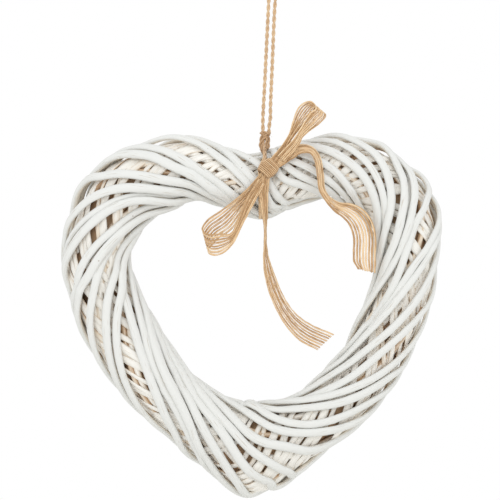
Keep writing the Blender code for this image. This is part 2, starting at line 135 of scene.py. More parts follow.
# Strips of the bow, close to those of the CAD. Each row: right of the bow's knot, above
# it, in front of the ring (all in millimetres), width as a share of the ribbon's, direction
# of the width in degrees above the horizontal, and how far the width turns from the viewer
LOWER_LOOP = (
    (-3.7, -6.4, 4.6, 0.36, 135, 0), (-13.8, -20.2, 3.4, 0.49, 137, 0),
    (-25.8, -33.0, 2.4, 0.62, 135, 0), (-37.2, -45.4, 2.3, 0.92, 132, 0),
    (-43.6, -50.6, 2.8, 1.00, 130, 0), (-51.0, -55.8, 3.9, 0.97, 119, 0),
    (-57.5, -65.2, 7.0, 1.00, 106, 0), (-51.5, -69.5, 11.0, 0.96, 101, 0),
    (-42.3, -68.1, 12.5, 0.88, 98, 0), (-33.1, -63.4, 12.2, 0.42, 116, 0),
    (-27.9, -54.6, 11.2, 0.28, 126, 0), (-24.3, -46.3, 9.9, 0.31, 132, 0),
    (-18.4, -33.1, 7.5, 0.40, 135, 0), (-6.3, -11.6, 5.6, 0.36, 135, 0),
)
UPPER_LOOP = (
    (3.6, 4.9, 2.5, 0.36, 150, 0), (13.8, 18.4, 2.5, 0.26, 147, 0),
    (20.6, 29.7, 2.5, 0.22, 150, 0), (27.0, 41.0, 3.0, 0.48, 155, 0),
    (34.0, 51.2, 4.5, 0.76, 145, 0), (40.5, 57.0, 8.0, 0.46, 125, 0),
    (47.6, 51.4, 11.0, 0.52, 147, 0), (42.2, 45.2, 12.0, 0.62, 139, 0),
    (30.2, 31.8, 11.0, 0.30, 140, 0), (24.6, 23.0, 8.5, 0.34, 142, 0),
    (11.8, 8.6, 5.0, 0.40, 140, 0),
)
LOWER_TAIL = (
    (-1.8, -5.3, 4.8, 0.31, 0, 0), (-4.1, -21.2, 5.4, 0.38, 0, 0),
    (-3.5, -33.8, 5.2, 0.31, 0, 25), (-2.9, -50.4, 3.5, 0.34, 0, 72),
    (-2.7, -65.2, 1.0, 0.42, 0, 80), (-2.2, -80.0, -0.5, 0.55, 5, 64),
    (1.9, -99.3, -3.0, 0.75, 15, 52), (9.6, -120.1, -5.0, 0.86, 27, 50),
    (20.4, -137.2, -6.5, 0.95, 36, 44), (34.4, -149.6, -7.0, 1.00, 42, 26),
    (52.4, -158.2, -7.0, 1.00, 44, 0),
)
SIDE_TAIL = (
    (4.5, 1.8, 2.0, 0.36, 125, 0), (17.5, 11.0, 2.0, 0.40, 125, 0),
    (29.4, 17.9, 2.5, 0.40, 115, 20), (39.6, 16.2, 4.5, 0.42, 60, 50),
    (45.1, 7.4, 5.5, 0.42, 20, 52), (47.4, -6.4, 6.0, 0.40, 5, 50),
    (48.8, -18.4, 6.0, 0.38, 10, 52), (54.3, -27.6, 5.5, 0.40, 35, 50),
    (62.5, -34.5, 4.0, 0.53, 48, 30), (72.0, -38.2, 2.0, 0.74, 48, 0),
    (80.5, -44.6, 0.0, 0.92, 38, 0), (86.0, -54.3, -2.5, 1.00, 22, 0),
    (88.0, -65.3, -4.0, 1.00, 5, 0), (87.6, -76.4, -4.0, 1.00, -6, 0),
    (87.8, -86.0, -3.6, 1.00, -10, 0), (89.6, -93.2, -3.3, 0.76, -14, 0),
)


class Slot(Enum):
    """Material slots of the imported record."""

    WHITE_WILLOW = "white_willow"
    INNER_WILLOW = "inner_willow"
    JUTE_CORD = "jute_cord"
    JUTE_RIBBON = "jute_ribbon"


def linear(code: str) -> tuple[float, float, float, float]:
    """Linear colour of an sRGB hex code.

    Args:
        code: Six hexadecimal digits after a hash sign.

    Returns:
        Red, green, blue and an alpha of one.
    """
    parts = np.array([int(code[place:place + 2], 16) for place in (1, 3, 5)]) / 255
    bright = ((parts + 0.055) / 1.055) ** 2.4
    red, green, blue = np.where(parts <= 0.04045, parts / 12.92, bright)
    return float(red), float(green), float(blue), 1.0


def unit(rows: np.ndarray) -> np.ndarray:
    """Rows of vectors, each divided by its length."""
    return rows / np.maximum(np.linalg.norm(rows, axis=-1, keepdims=True), 1e-12)


def ease(value: np.ndarray, low: float, high: float) -> np.ndarray:
    """Smooth step from 0 at low to 1 at high: three squares less two cubes of the share."""
    share = np.clip((value - low) / (high - low), 0.0, 1.0)
    return share * share * (3 - 2 * share)


def spline(rows: np.ndarray, place: np.ndarray, closed: bool = False) -> np.ndarray:
    """Catmull-Rom curve through rows: a cubic in each span, with the slope at a row half
    the step between its neighbours.

    Args:
        rows: One row for each knot.
        place: Places along the curve, counted in knots.
        closed: Whether the last row leads back to the first.

    Returns:
        One row for each place.
    """
    rows = np.asarray(rows, dtype=float)
    if closed:
        before = np.floor(place).astype(int)
        a, b, c, d = (rows[(before + step) % len(rows)] for step in (-1, 0, 1, 2))
    else:
        rows = np.concatenate([2 * rows[:1] - rows[1:2], rows, 2 * rows[-1:] - rows[-2:-1]])
        before = np.clip(np.floor(place).astype(int), 0, len(rows) - 4)
        a, b, c, d = (rows[before + step] for step in (0, 1, 2, 3))
    part = (place - before).reshape(-1, *[1] * (rows.ndim - 1))
    cubic = (3 * b - a - 3 * c + d) * part**3
    square = (2 * a - 5 * b + 4 * c - d) * part**2
    return 0.5 * (2 * b + (c - a) * part + square + cubic)


def travelled(line: np.ndarray) -> np.ndarray:
    """Distance along lines of points, from the first point of each.

    Args:
        line: Points, in any number of lines, by three.

    Returns:
        The sums of the steps' lengths, one for each point.
    """
    steps = np.linalg.norm(np.diff(line, axis=-2), axis=-1)
    start = np.zeros((*steps.shape[:-1], 1))
    return np.concatenate([start, np.cumsum(steps, axis=-1)], axis=-1)


def even_line(rows: np.ndarray, count: int, fine: int = 12) -> np.ndarray:
    """Smooth curve through rows, cut into even steps.

    Args:
        rows: Knots of the curve; further columns than the first three go along.
        count: How many points to give back.
        fine: Points that the curve takes between two knots first.

    Returns:
        count rows, evenly spaced along the curve.
    """
    rows = np.asarray(rows, dtype=float)
    dense = spline(rows, np.linspace(0, len(rows) - 1, (len(rows) - 1) * fine + 1))
    along = travelled(dense[:, :3])
    wanted = np.linspace(0, along[-1], count)
    return np.stack([np.interp(wanted, along, column) for column in dense.T], axis=1)


def wander(place: np.ndarray, lines: int, seed: int, waves: float) -> np.ndarray:
    """Slow wandering value from about -1 to 1 along several lines: the mean of three sines
    whose wave counts and phases are drawn once from a seeded table.

    Args:
        place: Places along a line, from 0 to 1.
        lines: How many lines wander, each in its own way.
        seed: Seed of the table.
        waves: Rough number of waves along a line.

    Returns:
        An array of lines by places.
    """
    draw = np.random.default_rng(seed)
    counts = waves * draw.uniform(*WAVE_RANGE, (3, lines, 1))
    phases = draw.uniform(0, TURN, (3, lines, 1))
    return np.sin(TURN * counts * place + phases).mean(axis=0) * WAVE_GAIN


def alternate(count: int, odd: float, even: float) -> np.ndarray:
    """Two values that take turns, the even one first."""
    return np.where(np.arange(count) % 2, odd, even)


def from_top(turn: np.ndarray) -> np.ndarray:
    """Degrees from the outer edge to angles round the section, in radians, either way."""
    return np.degrees(np.abs((turn + math.pi) % TURN - math.pi))


def frames(line: np.ndarray, out: np.ndarray) -> tuple[np.ndarray, np.ndarray, np.ndarray]:
    """Three directions at each point of lines, square to each other.

    Args:
        line: Points of the lines, lines by steps by three.
        out: Directions that roughly face outwards, of the same shape.

    Returns:
        Along the line, outwards less what of it lies along, and across, their product.
    """
    along = unit(np.gradient(line, axis=1))
    out = unit(out - (out * along).sum(-1, keepdims=True) * along)
    return along, out, np.cross(along, out)


@dataclass
class Shell:
    """Points, faces and values at the points of a mesh that isn't made yet."""

    points: np.ndarray
    quads: np.ndarray
    triangles: np.ndarray
    values: dict[str, np.ndarray]

    @staticmethod
    def joined(shells: list["Shell"]) -> "Shell":
        """Join shells.

        Args:
            shells: The shells, all with the same values.

        Returns:
            One shell of them all, with their points numbered on.
        """
        counts = [len(shell.points) for shell in shells]
        starts = np.concatenate([[0], np.cumsum(counts)[:-1]])
        names = shells[0].values
        return Shell(
            np.concatenate([shell.points for shell in shells]),
            np.concatenate([shell.quads + start for shell, start in zip(shells, starts)]),
            np.concatenate([shell.triangles + start for shell, start in zip(shells, starts)]),
            {name: np.concatenate([shell.values[name] for shell in shells]) for name in names},
        )

    def mesh(self, name: str) -> bpy.types.Mesh:
        """Make the shell a mesh.

        Args:
            name: Name of the mesh.

        Returns:
            A smooth mesh with the shell's values as attributes of its points.
        """
        mesh = bpy.data.meshes.new(name)
        corners = np.concatenate([self.quads.ravel(), self.triangles.ravel()])
        sides = np.repeat([4, 3], [len(self.quads), len(self.triangles)])
        starts = np.concatenate([[0], np.cumsum(sides)[:-1]])
        mesh.vertices.add(len(self.points))
        mesh.vertices.foreach_set("co", self.points.astype(np.float32).ravel())
        mesh.loops.add(len(corners))
        mesh.loops.foreach_set("vertex_index", corners.astype(np.int32))
        mesh.polygons.add(len(sides))
        mesh.polygons.foreach_set("loop_start", starts.astype(np.int32))
        mesh.polygons.foreach_set("loop_total", sides.astype(np.int32))
        mesh.update(calc_edges=True)
        mesh.shade_smooth()
        for key, value in self.values.items():
            vector = value.ndim == 2
            layer = mesh.attributes.new(key, "FLOAT_VECTOR" if vector else "FLOAT", "POINT")
            layer.data.foreach_set("vector" if vector else "value",
                                   value.astype(np.float32).ravel())
        return mesh


def sweep(line: np.ndarray, out: np.ndarray, radius: np.ndarray | float, sides: int,
          tone: np.ndarray | float = 0.0, flat: float = 1.0, blunt: float = 0.3) -> Shell:
    """Build closed tubes along lines.

    A point at a step and a turn is the line's point plus the radius times (flat times the
    cosine of the turn outwards plus its sine across). Outwards is made square to the line
    and across is square to both. Past each end a narrower ring and a pole close the tube.

    Args:
        line: Points of the middle lines, tubes by steps by three.
        out: Directions that face outwards, of the same shape.
        radius: Radius at each step, tubes by steps, or one for all.
        sides: Points round a tube.
        tone: Value of each tube for its material: the higher, the barer or darker.
        flat: Radius outwards as a share of the radius across.
        blunt: How far past its end a tube closes, as a share of its radius.

    Returns:
        The tubes, with grain (place in the straightened tube), facing (how far a point
        faces outwards, from -1 to 1) and tone at each point.
    """
    tubes, steps = line.shape[:2]
    radius = np.broadcast_to(radius, (tubes, steps))
    along, out, across = frames(line, out)
    turn = TURN * np.arange(sides) / sides
    circle = (flat * np.cos(turn)[:, None] * out[:, :, None]
              + np.sin(turn)[:, None] * across[:, :, None])
    size = radius[:, :, None, None]
    rings = line[:, :, None] + size * circle
    reach = blunt * size * along[:, :, None]
    first = (line[:, :1, None] - reach[:, :1] * END_REACH
             + END_SIZE * size[:, :1] * circle[:, :1])
    last = (line[:, -1:, None] + reach[:, -1:] * END_REACH
            + END_SIZE * size[:, -1:] * circle[:, -1:])
    rings = np.concatenate([first, rings, last], axis=1)
    poles = np.stack([line[:, 0] - reach[:, 0, 0], line[:, -1] + reach[:, -1, 0]], axis=1)

    number = np.arange(tubes * (steps + 2) * sides).reshape(tubes, steps + 2, sides)
    after = np.roll(number, -1, axis=2)
    quads = np.stack([number[:, :-1], after[:, :-1], after[:, 1:], number[:, 1:]], axis=-1)
    base = number.size + 2 * np.arange(tubes)[:, None] + np.zeros((1, sides), int)
    triangles = np.concatenate([
        np.stack([base, after[:, 0], number[:, 0]], axis=-1).reshape(-1, 3),
        np.stack([base + 1, number[:, -1], after[:, -1]], axis=-1).reshape(-1, 3),
    ])

    distance = travelled(line) + GRAIN_SHIFT * np.arange(tubes)[:, None]
    distance = np.concatenate([distance[:, :1], distance, distance[:, -1:]], axis=1)
    spread = np.concatenate([radius[:, :1], radius, radius[:, -1:]], axis=1)[:, :, None]
    round_grain = np.stack([spread * np.cos(turn) * flat, spread * np.sin(turn),
                            distance[:, :, None] + 0 * turn], axis=-1)
    pole_grain = np.stack([distance[:, [0, -1]] * 0, distance[:, [0, -1]] * 0,
                           distance[:, [0, -1]]], axis=-1)
    facing = np.broadcast_to(np.cos(turn), rings.shape[:3])
    tones = np.broadcast_to(np.asarray(tone, dtype=float).reshape(-1, 1, 1), rings.shape[:3])
    return Shell(
        np.concatenate([rings.reshape(-1, 3), poles.reshape(-1, 3)]),
        quads.reshape(-1, 4),
        triangles,
        {
            "grain": np.concatenate([round_grain.reshape(-1, 3), pole_grain.reshape(-1, 3)]),
            "facing": np.concatenate([facing.ravel(), np.zeros(2 * tubes)]),
            "tone": np.concatenate([tones.ravel(), np.repeat(tones[:, 0, 0], 2)]),
        },
    )


def plies(line: np.ndarray, out: np.ndarray, radius: float, pitch: float, sides: int,
          tone: np.ndarray | float = 0.0) -> Shell:
    """Cords laid up from two plies.

    Each ply's middle goes round the cord's at a little over half the cord's radius, half a
    turn from the other, once in each pitch of the distance along; a ply's own radius is
    two thirds of the cord's, because the lay is loose.

    Args:
        line: Middle lines of the cords, cords by steps by three.
        out: Directions that the plies' turns are counted from, of the same shape.
        radius: Radius of the cord.
        pitch: Length of one turn of the plies.
        sides: Points round a ply.
        tone: Value of each cord for its material: the higher, the darker.

    Returns:
        The plies as one shell.
    """
    _, out, across = frames(line, out)
    turn = TURN * travelled(line)[:, :, None] / pitch
    shells = []
    for half in (0.0, math.pi):
        away = np.cos(turn + half) * out + np.sin(turn + half) * across
        middle = line + PLY_PLACE * radius * away
        shells.append(sweep(middle, away, PLY_SIZE * radius, sides, tone))
    return Shell.joined(shells)


def add_object(name: str, data: bpy.types.ID) -> bpy.types.Object:
    """Put a mesh, a camera or a lamp into the scene.

    Args:
        name: Name of the object.
        data: What it shows.

    Returns:
        The object.
    """
    made = bpy.data.objects.new(name, data)
    bpy.context.scene.collection.objects.link(made)
    return made


def add_piece(name: str, shell: Shell, material: bpy.types.Material,
              nodes: tuple[str, ...] = ()) -> bpy.types.Object:
    """Mesh object of a shell that rides on the body and stands for CAD nodes.

    Args:
        name: The piece's name.
        shell: Its points and faces.
        material: Its finish.
        nodes: The CAD nodes that it replaces.

    Returns:
        The piece, linked to the scene.
    """
    mesh = shell.mesh(name)
    mesh.materials.append(material)
    piece = add_object(name, mesh)
    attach(piece, BODY)
    if nodes:
        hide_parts(*nodes)
    count = 2 * len(shell.quads) + len(shell.triangles)
    LOG.info("%s: %d points, %d triangles", name, len(shell.points), count)
    return piece


def add_node(tree: bpy.types.NodeTree, kind: str, inputs: dict[str | int, object],
             **settings: object) -> bpy.types.Node:
    """Add a node with its settings, and its inputs as values or links.

    Args:
        tree: Tree that the node goes into.
        kind: Blender's name of the node's type, without its ShaderNode.
        inputs: A value or another node's output for each input, by name or place.
        settings: Other properties of the node.

    Returns:
        The node.
    """
    node = tree.nodes.new("ShaderNode" + kind)
    for key, value in settings.items():
        setattr(node, key, value)
    for key, value in inputs.items():
        if isinstance(value, bpy.types.NodeSocket):
            tree.links.new(value, node.inputs[key])
        else:
            node.inputs[key].default_value = value
    return node


def new_material(name: str) -> tuple[bpy.types.Material, bpy.types.NodeTree, bpy.types.Node]:
    """Add a material.

    Args:
        name: Name of the material.

    Returns:
        The material, its tree and its Principled shader.
    """
    material = bpy.data.materials.new(name)
    material.use_nodes = True
    tree = material.node_tree
    return material, tree, tree.nodes["Principled BSDF"]


@dataclass(frozen=True)
class SprayedWillow:
    """Peeled willow sprayed with matt white chalk paint.

    The spray reaches what faces outwards. It gives the eye a dry, even white with fine
    streaks along the grain, beige where it is thin, and bare brown wood on the sides that
    face into the ring.
    """

    name: str = "white_sprayed_willow"
    paint: str = "#E0E1DE"
    thin_paint: str = "#DFD8CB"
    bare: str = "#C6A988"
    bark: str = "#8E7052"
    crack: str = "#A8997F"
    speck: str = "#8C7762"
    grain_width: float = 0.9 * MM
    grain_length: float = 22 * MM
    patch_width: float = 6 * MM
    patch_length: float = 30 * MM
    crack_width: float = 0.8 * MM
    crack_length: float = 18 * MM
    speck_spacing: float = 17 * MM
    # How much paint lies on a point: cover, and the weights of what changes it
    cover: float = 0.75
    facing_weight: float = 0.75
    patch_weight: float = 1.1
    streak_weight: float = 0.5
    tone_weight: float = -0.35
    # From where to where that takes wood to thin paint and thin paint to thick
    painted_range: tuple[float, float] = (0.55, 0.95)
    thick_range: tuple[float, float] = (0.9, 1.5)
    # From where to where the patterns of cracks and specks come in, and how strongly
    crack_range: tuple[float, float] = (0.66, 0.76)
    crack_strength: float = 0.55
    speck_range: tuple[float, float] = (0.055, 0.03)
    speck_strength: float = 0.5
    roughness: float = 0.66
    ior: float = 1.45
    bump_height: float = 0.12 * MM
    bump_strength: float = 0.8

    def material(self) -> bpy.types.Material:
        """Make the material.

        Returns:
            Paint over wood: streaks and patches move the edge between them.
        """
        material, tree, shader = new_material(self.name)
        grain = add_node(tree, "Attribute", {}, attribute_name="grain").outputs["Vector"]
        facing, tone = (add_node(tree, "Attribute", {}, attribute_name=name).outputs["Fac"]
                        for name in ("facing", "tone"))
        noises = []
        for width, length, inputs in (
                (self.grain_width, self.grain_length, {"Detail": 4.0, "Roughness": 0.6}),
                (self.patch_width, self.patch_length, {"Detail": 3.0, "Roughness": 0.6}),
                (self.crack_width, self.crack_length, {"Detail": 1.0})):
            long = add_node(tree, "Mapping", {"Vector": grain,
                                              "Scale": (1 / width, 1 / width, 1 / length)})
            noises.append(add_node(tree, "TexNoise", {"Vector": long.outputs[0], "Scale": 1.0,
                                                      **inputs}).outputs["Fac"])
        streak, patch, check = noises
        amount = self.cover
        for value, weight in ((facing, self.facing_weight), (patch, self.patch_weight),
                              (streak, self.streak_weight), (tone, self.tone_weight)):
            amount = add_node(tree, "Math", {0: value, 1: weight, 2: amount},
                              operation="MULTIPLY_ADD").outputs[0]
        painted, thick = (
            add_node(tree, "MapRange", {"Value": amount, "From Min": low, "From Max": high},
                     interpolation_type="SMOOTHSTEP").outputs[0]
            for low, high in (self.painted_range, self.thick_range))
        # Checks along the grain and the dark scars of buds that the peeling left
        scar = add_node(tree, "TexVoronoi", {"Vector": grain, "Scale": 1 / self.speck_spacing},
                        feature="F1").outputs["Distance"]
        cracked, dotted = (
            add_node(tree, "MapRange", {"Value": value, "From Min": low, "From Max": high,
                                        "To Max": strength}).outputs[0]
            for value, (low, high), strength in (
                (check, self.crack_range, self.crack_strength),
                (scar, self.speck_range, self.speck_strength)))
        wood, coat = (
            add_node(tree, "Mix", {0: share, 6: linear(under), 7: linear(over)},
                     data_type="RGBA").outputs[2]
            for share, under, over in ((streak, self.bark, self.bare),
                                       (thick, self.thin_paint, self.paint)))
        colour = wood
        for share, over in ((painted, coat), (cracked, linear(self.crack)),
                            (dotted, linear(self.speck))):
            colour = add_node(tree, "Mix", {0: share, 6: colour, 7: over},
                              data_type="RGBA").outputs[2]
        tree.links.new(colour, shader.inputs["Base Color"])
        shader.inputs["Roughness"].default_value = self.roughness
        shader.inputs["IOR"].default_value = self.ior
        bump = add_node(tree, "Bump", {"Height": streak, "Distance": self.bump_height,
                                       "Strength": self.bump_strength})
        tree.links.new(bump.outputs[0], shader.inputs["Normal"])
        return material


@dataclass(frozen=True)
class SpunJute:
    """Natural jute, spun into coarse yarn.

    Dry, hairy bast fibres lie along the yarn. It gives the eye a dull tan with light and
    dark fibres side by side and a soft sheen where light grazes them.
    """

    name: str
    light: str = "#EDD4AE"
    middle: str = "#DDBB90"
    dark: str = "#B38C61"
    fibre_width: float = 0.22 * MM
    fibre_length: float = 5 * MM
    # Slow changes of colour: how many to a metre, and their weight; a yarn's tone's weight
    slow_scale: float = 70.0
    slow_weight: float = 0.7
    tone_weight: float = -0.45
    # Where the dark, the middle and the light tan stand on the ramp
    stops: tuple[float, float, float] = (0.45, 0.66, 0.9)
    roughness: float = 0.85
    sheen: float = 0.25
    sheen_roughness: float = 0.5
    bump_height: float = 0.12 * MM
    bump_strength: float = 0.9

    def material(self) -> bpy.types.Material:
        """Make the material.

        Returns:
            Three tans mixed by streaks along the fibres and by each yarn's tone.
        """
        material, tree, shader = new_material(self.name)
        grain = add_node(tree, "Attribute", {}, attribute_name="grain").outputs["Vector"]
        tone = add_node(tree, "Attribute", {}, attribute_name="tone").outputs["Fac"]
        # Fibres are 0.02 mm wide; they are drawn ten times coarser, in bundles that show
        wide, long = 1 / self.fibre_width, 1 / self.fibre_length
        fine = add_node(tree, "Mapping", {"Vector": grain, "Scale": (wide, wide, long)})
        fibre = add_node(tree, "TexNoise", {"Vector": fine.outputs[0], "Scale": 1.0,
                                            "Detail": 4.0, "Roughness": 0.65}).outputs["Fac"]
        slow = add_node(tree, "TexNoise", {"Vector": grain, "Scale": self.slow_scale,
                                           "Detail": 2.0}).outputs["Fac"]
        mixed = fibre
        for value, weight in ((slow, self.slow_weight), (tone, self.tone_weight)):
            mixed = add_node(tree, "Math", {0: value, 1: weight, 2: mixed},
                             operation="MULTIPLY_ADD").outputs[0]
        ramp = add_node(tree, "ValToRGB", {0: mixed})
        dark, middle, light = self.stops
        ends = ramp.color_ramp.elements
        ends[0].position, ends[0].color = dark, linear(self.dark)
        ends[1].position, ends[1].color = light, linear(self.light)
        ends.new(middle).color = linear(self.middle)
        tree.links.new(ramp.outputs[0], shader.inputs["Base Color"])
        for key, value in (("Roughness", self.roughness), ("Sheen Weight", self.sheen),
                           ("Sheen Roughness", self.sheen_roughness)):
            shader.inputs[key].default_value = value
        bump = add_node(tree, "Bump", {"Height": fibre, "Distance": self.bump_height,
                                       "Strength": self.bump_strength})
        tree.links.new(bump.outputs[0], shader.inputs["Normal"])
        return material


@dataclass
class Ring:
    """Surface of the ring, as in the CAD: a share of the circuit, clockwise from the dip,
    and an angle round the section, 0 at the outer edge, 90 at the front, 180 inside."""

    width: float = 0.350
    height: float = 0.338
    ring_width: float = 0.064
    ring_depth: float = 0.062
    fineness: int = 100
    centre: np.ndarray = field(default_factory=lambda: np.zeros(3))

    def __post_init__(self) -> None:
        """Work out the ring's outer and inner edge and its length."""
        table = np.array(HEART_STATIONS)
        middle = np.stack([table[:, 0] * self.width, table[:, 1] * self.height], axis=1)
        along = unit(np.roll(middle, -1, axis=0) - np.roll(middle, 1, axis=0)
                     + np.roll(middle, -2, axis=0) - np.roll(middle, 2, axis=0))
        outward = np.stack([-along[:, 1], along[:, 0]], axis=1)
        reach = outward * table[:, 2:3] * self.ring_width / 2
        self.outer = middle + reach
        self.inner = middle - reach
        self.places = np.linspace(0.0, len(middle), self.fineness * len(middle) + 1)
        along_middle = travelled(spline(middle, self.places, closed=True))
        self.length = along_middle[-1]
        self.shares = along_middle / self.length

    def point(self, share: np.ndarray, angle: np.ndarray, inset: np.ndarray) -> np.ndarray:
        """Points inset below the surface.

        The place in the picture is the section's middle plus its half width times the
        cosine of the angle, less the inset; the depth is half the ring's times the sine.

        Args:
            share: Shares of the circuit.
            angle: Angles round the section, in radians.
            inset: Depths below the surface; negative above it.

        Returns:
            Points of the same shape as the arguments, by three.
        """
        share, angle, inset = np.broadcast_arrays(share, angle, inset)
        shape = share.shape
        share, angle, inset = share.ravel(), angle.ravel(), inset.ravel()
        place = np.interp(np.mod(share, 1.0), self.shares, self.places)
        outer = spline(self.outer, place, closed=True)
        inner = spline(self.inner, place, closed=True)
        half = (outer - inner) / 2
        size = np.linalg.norm(half, axis=1)
        flat = (outer + inner) / 2 + half * (np.cos(angle) * (size - inset) / size)[:, None]
        depth = -(self.ring_depth / 2 - inset) * np.sin(angle)
        points = np.stack([flat[:, 0], depth, flat[:, 1]], axis=1) + self.centre
        return points.reshape(*shape, 3)

    def outward(self, share: np.ndarray, angle: np.ndarray) -> np.ndarray:
        """Directions straight out of the ring, away from its hidden middle line."""
        step = 1.0 * MM
        return unit(self.point(share, angle, -step) - self.point(share, angle, step))


@dataclass
class Camera:
    """Camera square on to the front, far enough for a nearly flat view of half a metre of
    wall. The nail's pixel counts from the picture's upper left corner; it lies above it."""

    distance: float = 3.0
    sensor_mm: float = 36.0
    pixel: float = 0.00092
    pixels: int = 500
    nail: tuple[float, float] = (273.4, -30.5)

    def place(self) -> bpy.types.Object:
        """Add the camera: the lens is the sensor times the distance over the view's width.

        Returns:
            The camera, set as the scene's.
        """
        middle = self.pixels / 2
        data = bpy.data.cameras.new("camera")
        data.sensor_width = self.sensor_mm
        data.lens = self.sensor_mm * self.distance / (self.pixel * self.pixels)
        camera = add_object("camera", data)
        camera.location = ((middle - self.nail[0]) * self.pixel, -self.distance,
                           (self.nail[1] - middle) * self.pixel)
        camera.rotation_euler = (math.pi / 2, 0.0, 0.0)
        bpy.context.scene.camera = camera
        return camera


@dataclass
class HangingCord:
    """Loop of two-ply jute cord from the knot over the nail and back, its knot above the
    ring, and its turn round the ring."""

    ring: Ring
    finish: SpunJute
    diameter: float = 0.0029
    pitch: float = 13.0 * MM
    loop_points: int = 620
    loop_sides: int = 10
    # Tie round the ring: its share of the circuit, its height over the rods, the degrees
    # from the top between which it steps down off the ribbon's waist, the waist's thickness
    # and the room over it, and how much closer ties lie at the inner edge
    tie_place: float = 0.006
    tie_clearance: float = 2.0 * MM
    tie_crossing: tuple[float, float] = (48.0, 66.0)
    waist_thickness: float = 1.8 * MM
    clearance: float = 0.3 * MM
    inner_pull: float = 4.2 * MM
    tie_points: int = 180
    tie_tone: float = 0.2
    # Knot: how far its foot lies below the legs' ends and beside them, and its heart above it
    knot_height: float = 0.0125
    knot_lean: float = 1.5 * MM
    knot_heart: float = 8 * MM
    knot_points: int = 12
    knot_sides: int = 8
    knot_tone: float = 0.35
    # Loose fibres: how many and from what seed, lengths in millimetres, bend and thickness
    loop_fibres: int = 150
    loop_seed: int = 3
    strand_fibres: int = 10
    fibre_lengths: tuple[float, float] = (1.5, 5.0)
    fibre_start: float = 0.8
    fibre_bend: float = 0.28
    fibre_radius: float = 0.06 * MM
    fibre_tone: float = 0.4

    # Strands of the knot: right of its foot, in front of it and above it, in millimetres
    wraps: tuple[tuple[tuple[float, float, float], ...], ...] = (
        ((-1.2, 0.0, 13.1), (-1.6, -0.6, 10.4), (-2.5, -1.2, 6.6), (-3.3, -1.8, 2.6),
         (-3.2, -2.4, -0.8), (-2.0, -3.2, -3.8), (-1.4, -5.4, -7.0)),
        ((4.2, 0.0, 11.8), (3.7, 0.2, 9.2), (3.7, -0.4, 5.2), (3.9, -1.4, 1.4),
         (3.2, -2.6, -1.8), (1.4, -3.6, -4.2), (-0.6, -5.0, -6.0)),
        ((-2.6, 1.4, 10.8), (-2.2, -1.4, 11.6), (0.9, -2.4, 11.4), (3.9, -1.6, 10.8),
         (4.6, 0.8, 10.4), (1.4, 2.0, 10.6)),
        ((3.2, -1.4, 10.4), (1.2, -2.8, 8.6), (-0.9, -2.8, 5.8), (-1.4, -2.6, 2.2),
         (-1.3, -3.2, -1.0), (-0.4, -4.2, -3.8)),
        ((-1.6, -1.4, 10.6), (0.6, -1.8, 8.2), (1.8, -2.4, 5.0), (1.9, -2.8, 1.6),
         (1.2, -3.6, -1.6), (0.2, -4.6, -4.2)),
        ((-2.8, 0.6, -3.6), (-2.2, -3.6, -3.2), (0.2, -5.2, -2.8), (2.2, -4.2, -2.6),
         (2.6, -0.6, -3.2)),
    )

    def foot(self) -> np.ndarray:
        """Point where the knot sits on the tie."""
        top = (np.array(CORD_ROUTE[0]) + np.array(CORD_ROUTE[-1])) / 2
        return top - (self.knot_lean, 0.0, self.knot_height)

    def tie_height(self, turn: np.ndarray) -> np.ndarray:
        """Height of the tie's middle above the rods: it steps over the ribbon on top.

        Args:
            turn: Angles round the ring's section, in radians.

        Returns:
            Heights, eased from the ribbon's top down to the rods between two angles.
        """
        under = 1.0 - ease(from_top(turn), *self.tie_crossing)
        return (self.tie_clearance + self.diameter / 2 - self.drawn_in(turn)
                + (self.waist_thickness + self.clearance) * under)

    def drawn_in(self, turn: np.ndarray) -> np.ndarray:
        """How much closer ties lie at the inner edge: with the cosine's square there."""
        return self.inner_pull * np.clip(-np.cos(turn), 0, None) ** 2

    def hang(self) -> None:
        """Move the ring so that the knot's foot sits on the tie at the dip."""
        height = self.tie_height(np.zeros(1))
        top = self.ring.point(np.full(1, self.tie_place), np.zeros(1), -height)[0]
        self.ring.centre = self.foot() - top

    def fibres(self, line: np.ndarray, radius: float, count: int, seed: int) -> Shell:
        """Loose fibres that stand off a cord: each starts on the cord and leaves it in a
        slow bend, a little over a quarter of its length away at its tip.

        Args:
            line: Middle line of the cord.
            radius: Radius of the cord.
            count: How many fibres stand off.
            seed: Seed of their places.

        Returns:
            The fibres, three-sided and a tenth of a millimetre thick.
        """
        draw = np.random.default_rng(seed)
        along = unit(np.gradient(line, axis=0))
        start = draw.integers(2, len(line) - 3, count)
        spin = draw.uniform(0, TURN, count)
        side = unit(np.cross(along[start], (0.0, 1.0, 0.1)))
        away = (np.cos(spin)[:, None] * side
                + np.sin(spin)[:, None] * np.cross(along[start], side))
        length = draw.uniform(*self.fibre_lengths, count)[:, None, None] * MM
        run = np.linspace(0, 1, 5)[None, :, None]
        sense = np.where(draw.random(count) < 0.5, -1.0, 1.0)[:, None, None]
        lines = (line[start][:, None] + radius * self.fibre_start * away[:, None]
                 + length * (sense * run * along[start][:, None]
                             + self.fibre_bend * run**2 * away[:, None]))
        out = np.broadcast_to(away[:, None], lines.shape)
        return sweep(lines, out, self.fibre_radius, 3, draw.random(count) * self.fibre_tone)

    def build(self) -> None:
        """Build the cord loop, its fibres, the knot and the tie."""
        material = self.finish.material()
        line = even_line(CORD_ROUTE, self.loop_points)
        out = np.broadcast_to((0.0, -1.0, 0.0), line.shape)[None]
        radius = self.diameter / 2
        laid = plies(line[None], out, radius, self.pitch, self.loop_sides)
        cord = add_piece("jute_cord_loop", laid, material, ("hanging_cord",))
        loose = self.fibres(line, radius, self.loop_fibres, self.loop_seed)
        fuzz = add_piece("cord_fibres", loose, material)

